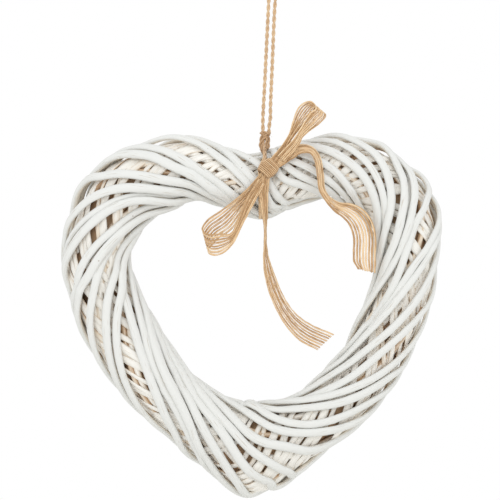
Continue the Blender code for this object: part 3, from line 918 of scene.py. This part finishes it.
        foot = self.foot()
        knots = []
        for strand in self.wraps:
            rows = np.array(strand) * MM + foot
            path = even_line(rows, self.knot_points * len(rows))[None]
            away = unit(path - (foot + (0.0, 0.0, self.knot_heart)) + 1e-6)
            knots.append(plies(path, away, radius, self.pitch, self.knot_sides, self.knot_tone))
            knots.append(self.fibres(path[0], radius, self.strand_fibres, len(knots)))
        turn = np.linspace(0.0, TURN, self.tie_points)[None]
        share = np.full(turn.shape, self.tie_place)
        tie = self.ring.point(share, turn, -self.tie_height(turn))
        out = self.ring.outward(share, turn)
        knots.append(plies(tie, out, radius, self.pitch, self.knot_sides, self.tie_tone))
        add_piece("jute_cord_knot", Shell.joined(knots), material, ("cord_knot",))


@dataclass
class OuterRods:
    """White rods that wind round the ring side by side.

    A rod's share of the circuit is a smooth curve through the lay's knots, an eighth of a
    turn apart. After a front crossing it goes round the back to the crossing that lies
    back_step further on.
    """

    ring: Ring
    finish: SprayedWillow
    # Sizes: how far rods differ, how much thicker they lie where they lie thickest, their
    # depth as a share of their width, and the change of radius along them
    radius: float = 3.95 * MM
    spread: float = 0.11
    girth: float = 0.08
    thickest: float = 0.70
    flat: float = 0.68
    taper: float = 0.16
    slow_change: float = 0.05
    quick_change: float = 0.02
    # Knuckles: how many to a rod, how long, and the ranges of their places and heights
    knuckles: int = 12
    knuckle_length: float = 3.5 * MM
    knuckle_places: tuple[float, float] = (0.03, 0.97)
    knuckle_heights: tuple[float, float] = (0.03, 0.10)
    # Lay: how many crossings on a rod comes back, crossings of each rod of a loop, how
    # uneven their depth is, and how deep, how fast and over what share their ends dip
    back_step: int = 14
    splits: tuple[int, ...] = (3, 3, 3, 3, 3, 2, 2)
    uneven: float = 0.5 * MM
    tuck: float = 5.0 * MM
    tuck_pace: float = 1.3
    tuck_run: float = 0.045
    steps: int = 400
    sides: int = 12
    tones: tuple[float, float] = (0.0, 0.5)
    grain_shift: float = 1.7
    # The rods that are tucked in all along
    tucked_radius: float = 3.0 * MM
    tucked_depth: float = 1.2 * MM
    tucked_run: float = 0.16
    tucked_steps: int = 170
    tucked_knuckles: int = 2
    tucked_tone: float = 0.6
    # Settling: rounds, rounds between two searches for neighbours, points searched at once,
    # radii that a search reaches, share of both radii at which rods touch, share of an
    # overlap that a round takes away, share of it sideways, smoothings of a move, how far
    # odd rods start above even ones, and how far rods may sink and ride up, here and at the
    # edges, where the sinking grows by a share
    rounds: int = 60
    search_every: int = 12
    block: int = 400
    search_reach: float = 2.8
    contact: float = 0.85
    give: float = 0.22
    sideways: float = 0.25
    smoothings: int = 4
    head_start: float = 1.0 * MM
    sink: float = 3.0 * MM
    edge_sink: float = 0.6
    ride: float = 2.2 * MM
    edge_ride: float = 0.3 * MM
    seed: int = 11

    def knots(self, first: int, crossings: int) -> np.ndarray:
        """Shares of the circuit at each eighth of a turn of one rod.

        Args:
            first: Number of the rod's first crossing, counted on past the lay's end.
            crossings: How many times it crosses the front.

        Returns:
            The shares, from half a back crossing before to half a one after.
        """
        numbers = first + self.back_step * np.arange(-1, crossings + 1)
        lay = np.array(FRONT_LAY)[numbers % len(FRONT_LAY)] / 100
        lay = lay + (numbers // len(FRONT_LAY))[:, None]
        back = lay[:-1, -1:] + (lay[1:, :1] - lay[:-1, -1:]) * np.array([0.25, 0.5, 0.75])
        middle_of_back = lay.shape[1] + 1
        turns = np.concatenate([lay[:-1], back], axis=1).ravel()
        return np.concatenate([turns[middle_of_back:], lay[-1, :1]])

    def rods(self) -> tuple[np.ndarray, np.ndarray]:
        """Shares and angles of all rods, each from one middle of the back to another.

        Returns:
            Arrays of rods by steps.
        """
        shares, angles = [], []
        for loop in (0, 1):
            first = loop
            for crossings in self.splits:
                place = np.linspace(0, 8 * crossings, self.steps)
                shares.append(spline(self.knots(first, crossings), place))
                angles.append(place * EIGHTH - 2 * EIGHTH)
                first += self.back_step * crossings
        return np.stack(shares), np.stack(angles)

    def swell(self, share: np.ndarray, angle: np.ndarray) -> np.ndarray:
        """How far rods lie outside the ring's even surface.

        The sum of bell curves along the circuit, at the outer edge where the cosine of
        the angle is above zero and at the inner edge where it is below, times its square.

        Args:
            share: Shares of the circuit.
            angle: Angles round the section, in radians.

        Returns:
            Heights of the same shape.
        """
        place, half, outer, inner = np.array(OUTLINE_SWELLS).T
        away = (share[..., None] * 100 - place + 50) % 100 - 50
        side = np.cos(angle)[..., None]
        height = np.where(side > 0, outer, inner) * side**2
        return (np.exp(-(away / half) ** 2) * height).sum(-1) * MM

    def tucked(self) -> tuple[np.ndarray, np.ndarray]:
        """Shares and angles of the partly hidden rods.

        Returns:
            Arrays of rods by steps, from just past the outer edge to past the inner one.
        """
        lay = np.array(TUCKED_LAY) / 100
        slope = lay[:, [1, -1]] - lay[:, [0, -2]]
        lay = np.concatenate([lay[:, :1] - slope[:, :1], lay, lay[:, -1:] + slope[:, 1:]], axis=1)
        place = np.linspace(0, lay.shape[1] - 1, self.tucked_steps)
        share = spline(lay.T, place).T
        return share, np.broadcast_to((place - 1) * EIGHTH, share.shape)

    def settle(self, line: np.ndarray, radius: np.ndarray, rod: np.ndarray, out: np.ndarray,
               edge: np.ndarray) -> np.ndarray:
        """Push rods apart where they lie in each other.

        Each point is moved from every point of another rod that is nearer than the two
        touch at, by a share of what they overlap, square to its own rod. Little of it is
        sideways: the odd rods of a crowd ride up on the even ones, because the lay is
        where they are seen. The moves are smoothed along the rods.

        Args:
            line: Points of all rods, one after another.
            radius: Radius at each point.
            rod: Number of the rod that each point is on.
            out: Directions out of the ring at each point.
            edge: 1 at the ring's outer and inner edge, where rods sink and don't ride, and
                0 at its front and back.

        Returns:
            The moved points.
        """
        moved = line.copy()
        ends = np.flatnonzero(np.diff(rod)) + 1
        first = np.concatenate([[0], ends])
        last = np.concatenate([ends, [len(line)]]) - 1
        before, after = np.arange(len(line)) - 1, np.arange(len(line)) + 1
        before[first], after[last] = first, last
        along = unit(line[after] - line[before])
        ride = (self.ride + (self.edge_ride - self.ride) * edge)[:, None]
        sink = (self.sink * (1 + self.edge_sink * edge))[:, None]
        radius = radius * self.contact
        pairs = np.zeros((0, 2), int)
        for step in range(self.rounds):
            if step % self.search_every == 0:
                found = []
                for start in range(0, len(moved), self.block):
                    few = slice(start, start + self.block)
                    gap = np.linalg.norm(moved[few, None] - moved[None], axis=2)
                    near = (gap < self.search_reach * self.radius) & (rod[few, None] != rod)
                    found.append(np.argwhere(near) + (start, 0))
                pairs = np.concatenate(found)
                pairs = pairs[pairs[:, 0] < pairs[:, 1]]
            one, two = pairs.T
            apart = moved[one] - moved[two]
            gap = np.linalg.norm(apart, axis=1)
            overlap = np.clip(radius[one] + radius[two] - gap, 0, None)
            upward = (out[one] + out[two]) / 2
            ahead = self.head_start * np.where(rod[one] % 2, 1.0, -1.0)
            rise = (apart * upward).sum(1) + ahead
            push = (self.sideways * apart / np.maximum(gap, 1e-9)[:, None]
                    + np.sign(rise)[:, None] * upward) * (overlap * self.give)[:, None]
            move = np.zeros_like(moved)
            np.add.at(move, one, push)
            np.add.at(move, two, -push)
            move -= (move * along).sum(1, keepdims=True) * along
            for _ in range(self.smoothings):
                move = 0.5 * move + 0.25 * (move[before] + move[after])
            moved = moved + move
            lift = ((moved - line) * out).sum(1, keepdims=True)
            moved += (np.clip(lift, -sink, ride) - lift) * out
        return moved

    def swelling(self, distance: np.ndarray, count: int) -> np.ndarray:
        """Change of radius along rods: a slow wander, a taper and small knuckles where
        twigs were cut off, as narrow bell curves.

        Args:
            distance: Distance along each rod, rods by steps.
            count: Knuckles on each rod.

        Returns:
            Factors of the radius.
        """
        draw = np.random.default_rng(self.seed)
        rods = len(distance)
        total = distance[:, -1:]
        places = draw.uniform(*self.knuckle_places, (count, rods, 1)) * total
        heights = draw.uniform(*self.knuckle_heights, (count, rods, 1))
        away = (distance - places) / self.knuckle_length
        bells = (heights * np.exp(-away ** 2)).sum(axis=0)
        place = np.linspace(0, 1, distance.shape[1])
        taper = 1 + self.taper * alternate(rods, 1, -1)[:, None] * (place - 0.5)
        return (taper + self.slow_change * wander(place, rods, self.seed + 1, waves=5)
                + self.quick_change * wander(place, rods, self.seed + 2, waves=30) + bells)

    def build(self) -> None:
        """Build fourteen rods, each for its CAD rod, and the rods tucked in between."""
        material = self.finish.material()
        share, angle = self.rods()
        rods = len(share)
        run = np.linspace(0, 1, self.steps)
        from_end = self.tuck_pace * np.minimum(run, 1 - run)
        sunk = self.tuck * (1 - ease(from_end, 0.0, self.tuck_run))
        lift = self.uneven * wander(run, rods, self.seed + 5, waves=7)
        differing = np.random.default_rng(self.seed).uniform(-1, 1, rods)
        size = self.radius * (1 + self.spread * differing)
        inset = self.flat * size[:, None] + sunk + lift - self.swell(share, angle)
        line = self.ring.point(share, angle, inset)
        out = self.ring.outward(share, angle)
        girth = 1 + self.girth * np.cos(TURN * (share - self.thickest))
        radius = size[:, None] * girth * self.swelling(travelled(line), self.knuckles)

        part, turn = self.tucked()
        place = np.linspace(0, 1, part.shape[1])
        sunk = self.tuck * (1 - ease(np.minimum(place, 1 - place), 0.0, self.tucked_run))
        deep = self.tucked_depth + sunk
        extra = self.ring.point(part, turn, self.tucked_radius + deep)
        extra_out = self.ring.outward(part, turn)
        extra_radius = self.tucked_radius * self.swelling(travelled(extra), self.tucked_knuckles)

        points = np.concatenate([line.reshape(-1, 3), extra.reshape(-1, 3)])
        outs = np.concatenate([out.reshape(-1, 3), extra_out.reshape(-1, 3)])
        radii = np.concatenate([radius.ravel(), extra_radius.ravel()])
        owner = np.concatenate([np.repeat(np.arange(rods), self.steps),
                                np.repeat(rods + np.arange(len(extra)), extra.shape[1])])
        edge = np.concatenate([np.cos(angle).ravel(), np.cos(turn).ravel()]) ** 2
        points = self.settle(points, radii, owner, outs, edge)
        line = points[:line.size // 3].reshape(line.shape)
        extra = points[line.size // 3:].reshape(extra.shape)

        tones = np.random.default_rng(self.seed + 9).uniform(*self.tones, rods)
        for rod in range(rods):
            one = slice(rod, rod + 1)
            name = f"rod_{rod + 1:02d}"
            shell = sweep(line[one], out[one], radius[one], self.sides, tones[one], self.flat)
            shell.values["grain"][:, 2] += self.grain_shift * rod
            add_piece("white_" + name, shell, material, (name,))
        shell = sweep(extra, extra_out, extra_radius, self.sides, self.tucked_tone, self.flat)
        add_piece("tucked_rods", shell, material)


@dataclass
class InnerRods:
    """Bundle under the outer rods: split rods that cross them the other way, with gaps
    that show bare rods along the ring, round a core."""

    ring: Ring
    finish: SprayedWillow
    sides: int = 8
    # Rods along the ring: how many, how thick and deep, their turns in a circuit, how far
    # round it they go, how they wander, and from what to what they are bare
    count: int = 15
    radius: float = 2.9 * MM
    inset: float = 11.0 * MM
    turns: float = 2.2
    lap: float = 1.03
    angle_wander: float = 0.22
    depth_wander: float = 0.9 * MM
    size_wander: float = 0.12
    tones: tuple[float, float] = (0.4, 4.3)
    steps: int = 260
    seed: int = 22
    # Split rods: half their width, their depth as a share of it, how deep they lie and how
    # many millimetres more at most, their spacing square to them and how uneven it is,
    # how their reach and width differ, and how they wander
    split_radius: float = 2.9 * MM
    split_flat: float = 0.42
    split_inset: float = 7.6 * MM
    split_depths: float = 1.6
    split_spacing: float = 7.5 * MM
    split_uneven: float = 0.62
    split_reach: tuple[float, float] = (0.68, 1.32)
    split_spread: float = 0.32
    split_place_wander: float = 0.0020
    split_depth_wander: float = 0.4 * MM
    split_size_wander: float = 0.06
    # How far they run on past the ring's edges, as a share of their crossing, how deep
    # their ends dip there, and over what share
    split_past: float = 0.2
    split_dip: float = 3 * MM
    split_dip_run: float = 0.18
    split_steps: int = 38
    split_fineness: int = 2001
    # Most are well sprayed and a few nearly bare: the highest tone, and the power that a
    # random share is raised to
    split_tone: float = 2.6
    split_rare: float = 2.5
    split_seed: int = 41
    # Core: its depth, its ribs' height, and its points along and round
    core_inset: float = 14.5 * MM
    core_rib: float = 1.2 * MM
    core_grid: tuple[int, int] = (240, 48)

    def along(self) -> Shell:
        """Rods along the ring: the angle grows evenly with the share, and both wander.

        Returns:
            The rods, each once round the heart with its ends lapped.
        """
        run = np.linspace(0, 1, self.steps)
        draw = np.random.default_rng(self.seed)
        share = draw.uniform(0, 1, (self.count, 1)) + self.lap * run
        angle = TURN * (np.arange(self.count)[:, None] / self.count + self.turns * share)
        angle = angle + self.angle_wander * wander(run, self.count, self.seed + 1, waves=3)
        depth = self.inset + self.depth_wander * wander(run, self.count, self.seed + 2, waves=6)
        line = self.ring.point(share, angle, depth)
        swelling = self.size_wander * wander(run, self.count, self.seed + 3, waves=4)
        tone = draw.uniform(*self.tones, self.count)
        return sweep(line, self.ring.outward(share, angle), self.radius * (1 + swelling),
                     self.sides, tone)

    def splits(self, side: float, seed: int) -> Shell:
        """Split rods over the front or the back, wound against the outer rods.

        Their lay gives the share of the circuit that one takes to cross the ring. The
        spacing along the circuit is the spacing square to them over the sine of their
        angle to the ring.

        Args:
            side: Angle at which they start, 0 for the front and half a turn for the back.
            seed: Seed of their small differences.

        Returns:
            The split rods, from past one edge of the ring to past the other.
        """
        draw = np.random.default_rng(seed)
        fine = np.linspace(0, 1, self.split_fineness)
        lay_place, lay_reach = np.array(SPLIT_LAY).T
        slope = np.interp(fine, lay_place, lay_reach)
        half_turn = math.pi * self.ring.ring_depth / 2 / self.ring.length
        gap = self.split_spacing / self.ring.length * np.hypot(half_turn, slope) / half_turn
        number = np.concatenate([[0], np.cumsum(1 / gap[:-1]) * fine[1]])
        count = int(number[-1])
        uneven = draw.uniform(-self.split_uneven, self.split_uneven, count)
        evenly = (np.arange(count) + uneven) * number[-1] / count
        place = np.interp(np.mod(evenly, number[-1]), number, fine)[:, None]
        reach = np.interp(place, lay_place, lay_reach)
        reach = reach * draw.uniform(*self.split_reach, (count, 1))
        past = self.split_past
        run = np.linspace(-past, 1 + past, self.split_steps)[None]
        slow = run[0] / 2
        share = place - reach * (run - 0.5)
        share = share + self.split_place_wander * wander(slow, count, seed + 1, waves=3)
        angle = side + math.pi * run + 0 * place
        end = ease(np.minimum(run + past, 1 + past - run), 0.0, self.split_dip_run)
        depth = (self.split_inset + self.split_dip * (1 - end)
                 + draw.uniform(0, self.split_depths, (count, 1)) * MM)
        depth = depth + self.split_depth_wander * wander(slow, count, seed + 2, waves=3)
        line = self.ring.point(share, angle, depth)
        size = self.split_radius * (1 + self.split_spread * draw.uniform(-1, 1, (count, 1)))
        size = size * (1 + self.split_size_wander * wander(slow, count, seed + 3, waves=4))
        tone = self.split_tone * draw.random(count) ** self.split_rare
        return sweep(line, self.ring.outward(share, angle), size, self.sides, tone,
                     flat=self.split_flat)

    def core(self) -> Shell:
        """Closed core: a loft of the ring's section, ribbed as by rods side by side.

        The ribs' height is the size of a sine that runs four times round the section and
        three times round the circuit.

        Returns:
            The core, bare and turned from the spray: partly the unsprayed wood of the deepest rods
                and partly painted shade, a brown shell that blocks the view through the gaps and
                darkens them as the ring's shadowed depth.
        """
        long, wide = self.core_grid
        shares = np.linspace(0, 1, long, endpoint=False)[:, None]
        turns = np.linspace(0, TURN, wide, endpoint=False)[None]
        ribs = self.core_rib * np.abs(np.sin(4 * turns + TURN * 3 * shares))
        points = self.ring.point(shares, turns, self.core_inset - ribs)
        number = np.arange(long * wide).reshape(long, wide)
        beside, ahead = np.roll(number, -1, axis=1), np.roll(number, -1, axis=0)
        both = np.roll(beside, -1, axis=0)
        quads = np.stack([number, ahead, both, beside], axis=-1).reshape(-1, 4)
        flat = points.reshape(-1, 3)
        # A facing of -1 and a tone of 1 keep the core bare brown wood: partly real unsprayed wood,
        # partly painted shade of the ring's hollow depth.
        return Shell(flat, quads, np.zeros((0, 3), int),
                     {"grain": flat.copy(), "facing": np.full(len(flat), -1.0),
                      "tone": np.full(len(flat), 1.0)})

    def build(self) -> None:
        """Build the rods along the ring, the split rods and the core as one bundle."""
        shells = [self.along(), self.splits(0.0, self.split_seed),
                  self.splits(math.pi, self.split_seed + 5), self.core()]
        add_piece("inner_rod_bundle", Shell.joined(shells), self.finish.material(),
                  ("inner_rods",))


@dataclass(frozen=True)
class Strip:
    """One length of ribbon: its rows, how many folds it has across and where in a fold it
    starts, how thick its warp threads are beside the usual ones, and whether its far end
    is cut and frayed."""

    rows: tuple[tuple[float, ...], ...]
    folds: float
    phase: float
    thread: float = 1.0
    cut: bool = False


@dataclass
class RibbonBow:
    """Bow of open-weave jute ribbon: two loops, two tails, a knot and the gathered turn
    round the ring, woven thread by thread."""

    ring: Ring
    cord: HangingCord
    finish: SpunJute
    width: float = 0.0207
    flat_length: float = 0.88
    # Weave: jute's single threads are too fine to show, so fewer and thicker ones are drawn.
    # How many warp threads, how far the two of a pair are drawn together, how uneven they
    # lie, half their thickness and the weft's, their steps, and how they wave and stray
    warp_count: int = 16
    pairing: float = 0.013
    uneven: float = 0.008
    warp_radius: float = 0.52 * MM
    warp_flat: float = 0.8
    warp_step: float = 1.6 * MM
    warp_wave: float = 0.03 * MM
    warp_stray: float = 0.12 * MM
    warp_change: float = 0.22
    weft_radius: float = 0.07 * MM
    weft_step: float = 1.1 * MM
    weft_wave: float = 0.10 * MM
    weft_stray: float = 0.10 * MM
    weft_reach: float = 0.51
    weft_points: int = 17
    thread_sides: int = 6
    curve_steps: int = 40
    # Cut ends: how long and how far the warp frays, and how much of it has no weft
    fray_length: float = 3 * MM
    fray: float = 0.35 * MM
    bare_end: float = 1 * MM
    # Folds: their greatest height, the narrowest share of the width, how much lower they
    # stand where the ribbon opens, between which shares, and how far and fast they drift
    fold_height: float = 0.5 * MM
    narrowest: float = 0.2
    flattening: float = 0.7
    opening: tuple[float, float] = (0.42, 0.8)
    drift: float = 0.8
    drift_pace: float = 0.9
    # Knot: its width, length and depth, its turn and place, the wraps, how far they reach as
    # a share of its width, how much it narrows, how square its section is, how far out odd
    # and even wraps lie, its creases, half its threads' thickness, and the tones of odd and
    # even wraps with the range of what is added to them
    knot_size: tuple[float, float, float] = (0.0165, 0.0160, 0.0080)
    knot_turn: float = 47.0
    knot_place: float = 0.0035
    knot_height: float = 68.0
    wraps: int = 20
    wrap_points: int = 60
    wrap_reach: float = 0.46
    barrel: float = 0.35
    squareness: float = 0.75
    wrap_lift: tuple[float, float] = (0.30 * MM, -0.34 * MM)
    crease: float = 0.3 * MM
    wrap_radius: float = 0.44 * MM
    wrap_tones: tuple[float, float] = (0.2, 1.3)
    wrap_tone_range: tuple[float, float] = (0.0, 0.4)
    # Waist: its width, how far and between which degrees from the top it shifts aside, the
    # height of its odd and even threads, how they roll and half their thickness
    waist_width: float = 3.0 * MM
    waist_shift: float = 4.8 * MM
    waist_crossing: tuple[float, float] = (40.0, 64.0)
    waist_layers: tuple[float, float] = (1.25 * MM, 0.55 * MM)
    waist_roll: float = 0.25 * MM
    waist_radius: float = 0.45 * MM
    waist_points: int = 120
    seed: int = 31

    def knot_middle(self) -> np.ndarray:
        """Middle of the bow's knot.

        Returns:
            The point, over the front of the ring at the dip.
        """
        height = np.radians([self.knot_height])
        above = self.cord.tie_clearance + self.knot_size[2] / 2
        share = np.array([self.knot_place + self.cord.tie_place])
        return self.ring.point(share, height, np.array([-above]))[0]

    def cloth(self, strip: Strip, place: np.ndarray, across: np.ndarray) -> np.ndarray:
        """Points of a strip's cloth.

        The middle line and the width are smooth curves through the strip's rows. Where the
        width is a share less than one, the cloth stands in sine folds, with the slope that
        takes up the rest of its width. The folds flatten as the ribbon opens out.

        Args:
            strip: The strip.
            place: Places along it, counted in rows, of any length.
            across: Places across it, from -0.5 to 0.5.

        Returns:
            Points and face directions, places by across by six.
        """
        table = spline(np.array(strip.rows), place)
        knot = self.knot_middle()
        middle = np.stack([table[:, 0] * MM + knot[0],
                           -self.ring.ring_depth / 2 - table[:, 2] * MM,
                           table[:, 1] * MM + knot[2]], axis=1)
        slant, tilt = np.radians(table[:, 4]), np.radians(table[:, 5])
        wide = np.stack([np.cos(slant) * np.cos(tilt), np.sin(tilt),
                         np.sin(slant) * np.cos(tilt)], axis=1)
        face = unit(np.cross(np.gradient(middle, axis=0), wide))
        share = np.clip(table[:, 3], self.narrowest, 1.0)
        slope = math.pi / 2 * np.sqrt(np.clip(1 / share**2 - 1, 0.02, None))
        height = slope * share * self.width / (TURN * strip.folds)
        flattened = 1 - self.flattening * ease(share, *self.opening)
        height = np.minimum(height, self.fold_height) * flattened
        drift = strip.phase + self.drift * np.sin(place * self.drift_pace + strip.phase)
        fold = height[:, None] * np.sin(TURN * strip.folds * across + drift[:, None])
        points = (middle[:, None] + wide[:, None] * (share * self.width)[:, None, None]
                  * across[None, :, None] + face[:, None] * fold[:, :, None])
        return np.concatenate([points, np.broadcast_to(face[:, None], points.shape)], axis=2)

    def weave(self, strip: Strip, seed: int) -> Shell:
        """Threads of one strip: warp along it and weft across it, each passing over and
        under the other by a cosine of the crossings' count.

        Args:
            strip: The strip.
            seed: Seed of the threads' small differences.

        Returns:
            The threads.
        """
        draw = np.random.default_rng(seed)
        rows, count = len(strip.rows), self.warp_count
        fine = np.linspace(0, rows - 1, self.curve_steps * rows)
        along = travelled(self.cloth(strip, fine, np.zeros(1))[:, 0, :3])
        length = along[-1]
        threads = np.linspace(-0.5, 0.5, count) + self.pairing * alternate(count, -1, 1)
        threads[1:-1] += draw.uniform(-self.uneven, self.uneven, count - 2)
        steps = round(length / self.warp_step)
        run, distance = np.linspace(0, 1, steps), np.linspace(0, length, steps)
        grid = self.cloth(strip, np.interp(distance, along, fine), threads)
        wave = np.cos(math.pi * distance[:, None] / self.weft_step) * alternate(count, 1.0, -1.0)
        stray = self.warp_stray * wander(run, count, seed + 1, waves=9).T
        lines = grid[:, :, :3] + grid[:, :, 3:] * (self.warp_wave * wave + stray)[:, :, None]
        size = strip.thread * self.warp_radius * (
            1 + self.warp_change * wander(run, count, seed + 2, waves=14))
        if strip.cut:
            loose = np.interp(distance, [length - self.fray_length, length], [0, 1])
            lines = lines + (self.fray * loose[:, None, None]
                             * draw.uniform(-1, 1, (count, 3)))
        warp = sweep(lines.transpose(1, 0, 2), grid[:, :, 3:].transpose(1, 0, 2), size,
                     self.thread_sides, draw.random(count), flat=self.warp_flat)

        picks = round(length / self.weft_step)
        spots = (np.arange(picks) + 0.5) * self.weft_step
        spots = spots[spots < length - (self.bare_end if strip.cut else 0)]
        picks = len(spots)
        across = np.linspace(-self.weft_reach, self.weft_reach, self.weft_points)
        grid = self.cloth(strip, np.interp(spots, along, fine), across)
        over = np.interp(across, threads, np.arange(count))
        lift = self.weft_wave * np.cos(math.pi * over)[None] * alternate(picks, 1.0, -1.0)[:, None]
        lines = grid[:, :, :3] + grid[:, :, 3:] * lift[:, :, None]
        lines = lines + self.weft_stray * draw.uniform(-1, 1, (picks, 1, 3))
        weft = sweep(lines, grid[:, :, 3:], self.weft_radius, 3, draw.random(picks))
        LOG.info("strip of %.0f mm with %d picks", length / MM, picks)
        return Shell.joined([warp, weft])

    def waist(self) -> Shell:
        """Gathered turn round the ring: the warp threads lie packed in two layers, and the
        band shifts to one side as it leaves the dip.

        Returns:
            The threads.
        """
        count, points = self.warp_count, self.waist_points
        turn = np.linspace(0, TURN, points)
        shift = self.waist_shift / self.ring.length * ease(from_top(turn), *self.waist_crossing)
        side = (np.arange(count)[:, None] / (count - 1) - 0.5) * self.waist_width
        share = self.cord.tie_place - shift[None] + side / self.ring.length
        height = self.cord.tie_clearance + alternate(count, *self.waist_layers)[:, None]
        turns = np.broadcast_to(turn, share.shape)
        roll = wander(np.linspace(0, 1, points), count, self.seed + 7, waves=5) * self.waist_roll
        lines = self.ring.point(share, turns, self.cord.drawn_in(turns) - (height + roll))
        tone = np.random.default_rng(self.seed).random(count)
        return sweep(lines, self.ring.outward(share, turns), self.waist_radius,
                     self.thread_sides, tone)

    def knot(self) -> Shell:
        """Knot of the bow: threads wrapped round it side by side. Each is a loop, a
        rounded rectangle of the knot's length and depth, smaller towards both ends.

        Returns:
            The threads.
        """
        middle = self.knot_middle()
        height, spin = math.radians(self.knot_height), math.radians(self.knot_turn)
        out = np.array([0.0, -math.sin(height), math.cos(height)])
        right = np.array([1.0, 0.0, 0.0])
        up = np.cross(out, right)
        down = -math.cos(spin) * up + math.sin(spin) * right
        beside = np.cross(out, down)
        wide, tall, deep = self.knot_size
        count = self.wraps
        spots = np.linspace(-self.wrap_reach, self.wrap_reach, count)[:, None]
        turn = np.linspace(0, TURN, self.wrap_points)[None]
        barrel = 1 - np.abs(2 * spots) ** 3 * self.barrel
        bow, rise = (np.sign(wave) * np.abs(wave) ** self.squareness
                     for wave in (np.cos(turn), np.sin(turn)))
        crease = self.crease * np.cos(5 * math.pi * spots + 1.0)
        crease = crease + alternate(count, *self.wrap_lift)[:, None]
        lines = (middle + (spots * wide)[:, :, None] * beside
                 + (barrel * bow * tall / 2)[:, :, None] * down
                 + (barrel * rise * (deep / 2 + crease))[:, :, None] * out)
        face = unit(bow[:, :, None] * down / tall + rise[:, :, None] * out / deep)
        tone = np.random.default_rng(self.seed + 3).uniform(*self.wrap_tone_range, count)
        tone += alternate(count, *self.wrap_tones)
        return sweep(lines, np.broadcast_to(face, lines.shape), self.wrap_radius,
                     self.thread_sides, tone)

    def build(self) -> None:
        """Weave all strips and join them with the waist and the knot into one ribbon."""
        strips = (Strip(LOWER_LOOP, folds=5.6, phase=0.4), Strip(UPPER_LOOP, folds=5.2, phase=1.7),
                  Strip(LOWER_TAIL, folds=4.4, phase=2.5, thread=0.94, cut=True),
                  Strip(SIDE_TAIL, folds=5.0, phase=0.9, thread=1.20, cut=True))
        shells = [self.weave(strip, self.seed + 10 * place)
                  for place, strip in enumerate(strips)]
        shells += [self.waist(), self.knot()]
        ribbon = add_piece("jute_ribbon_bow", Shell.joined(shells), self.finish.material(),
                           ("ribbon_bow",))


@dataclass(frozen=True)
class Lamp:
    """Soft square lamp: its name, its place, its power in watts and its side."""

    name: str
    place: tuple[float, float, float]
    watts: float
    side: float


@dataclass
class Studio:
    """Plain pale floor under the wreath and soft white light from all round."""

    floor_height: float = -0.56
    floor_side: float = 1.5
    floor_colour: str = "#F2F1EE"
    floor_roughness: float = 0.9
    lamps: tuple[Lamp, ...] = (Lamp("key", (-0.5, -1.9, 0.5), 6.5, 1.0),
                               Lamp("fill", (0.9, -1.8, -0.3), 3.0, 1.2))
    lit_point: tuple[float, float, float] = (-0.02, 0.0, -0.31)

    def build(self) -> None:
        """Add the floor, the sky and two soft lamps."""
        scene = bpy.context.scene
        half, height = self.floor_side / 2, self.floor_height
        mesh = bpy.data.meshes.new("floor")
        corners = [(x * half, y * half, height) for x, y in ((-1, -1), (1, -1), (1, 1), (-1, 1))]
        mesh.from_pydata(corners, [], [(0, 1, 2, 3)])
        material, _, shader = new_material("pale_studio_floor")
        shader.inputs["Base Color"].default_value = linear(self.floor_colour)
        shader.inputs["Roughness"].default_value = self.floor_roughness
        mesh.materials.append(material)
        floor = add_object("floor", mesh)

        world = bpy.data.worlds.new("white_surround")
        world.use_nodes = True
        sky = world.node_tree.nodes["Background"]
        sky.inputs["Color"].default_value = (1.0, 1.0, 1.0, 1.0)
        sky.inputs["Strength"].default_value = 1.0
        scene.world = world
        scene.view_settings.view_transform = "Standard"
        for lamp in self.lamps:
            data = bpy.data.lights.new(lamp.name, "AREA")
            data.energy, data.size = lamp.watts, lamp.side
            light = add_object(lamp.name, data)
            light.location = lamp.place
            aim = np.array(self.lit_point) - lamp.place
            flat = math.hypot(aim[0], aim[1])
            light.rotation_euler = (math.pi / 2 - math.atan2(-aim[2], flat), 0.0,
                                    math.atan2(aim[1], aim[0]) - math.pi / 2)


def main() -> None:
    """Build the wreath's pieces in order and report each."""
    logging.basicConfig(level=logging.INFO, format="%(message)s")
    Camera().place()
    ring = Ring()
    cord = HangingCord(ring, SpunJute("two_ply_jute_cord", light="#DBBD96", middle="#BC9670",
                                       dark="#77583C"))
    cord.hang()
    cord.build()
    OuterRods(ring, SprayedWillow()).build()
    # Painted light: the inner rods' paint, thin paint, bare wood and bark are lighter than the
    # outer rods' same paint and wood, to lift the shade inside the ring; their thinner cover of
    # paint (cover 0.60) is real.
    thin = SprayedWillow(name="thinly_sprayed_inner_willow_with_painted_light", paint="#F1EFE9",
                         thin_paint="#E6D9C6", bare="#CDAE8C", bark="#A07F60", cover=0.60)
    InnerRods(ring, thin).build()
    RibbonBow(ring, cord, SpunJute("open_weave_jute_ribbon")).build()
    Studio().build()


if __name__ == "__main__":
    main()
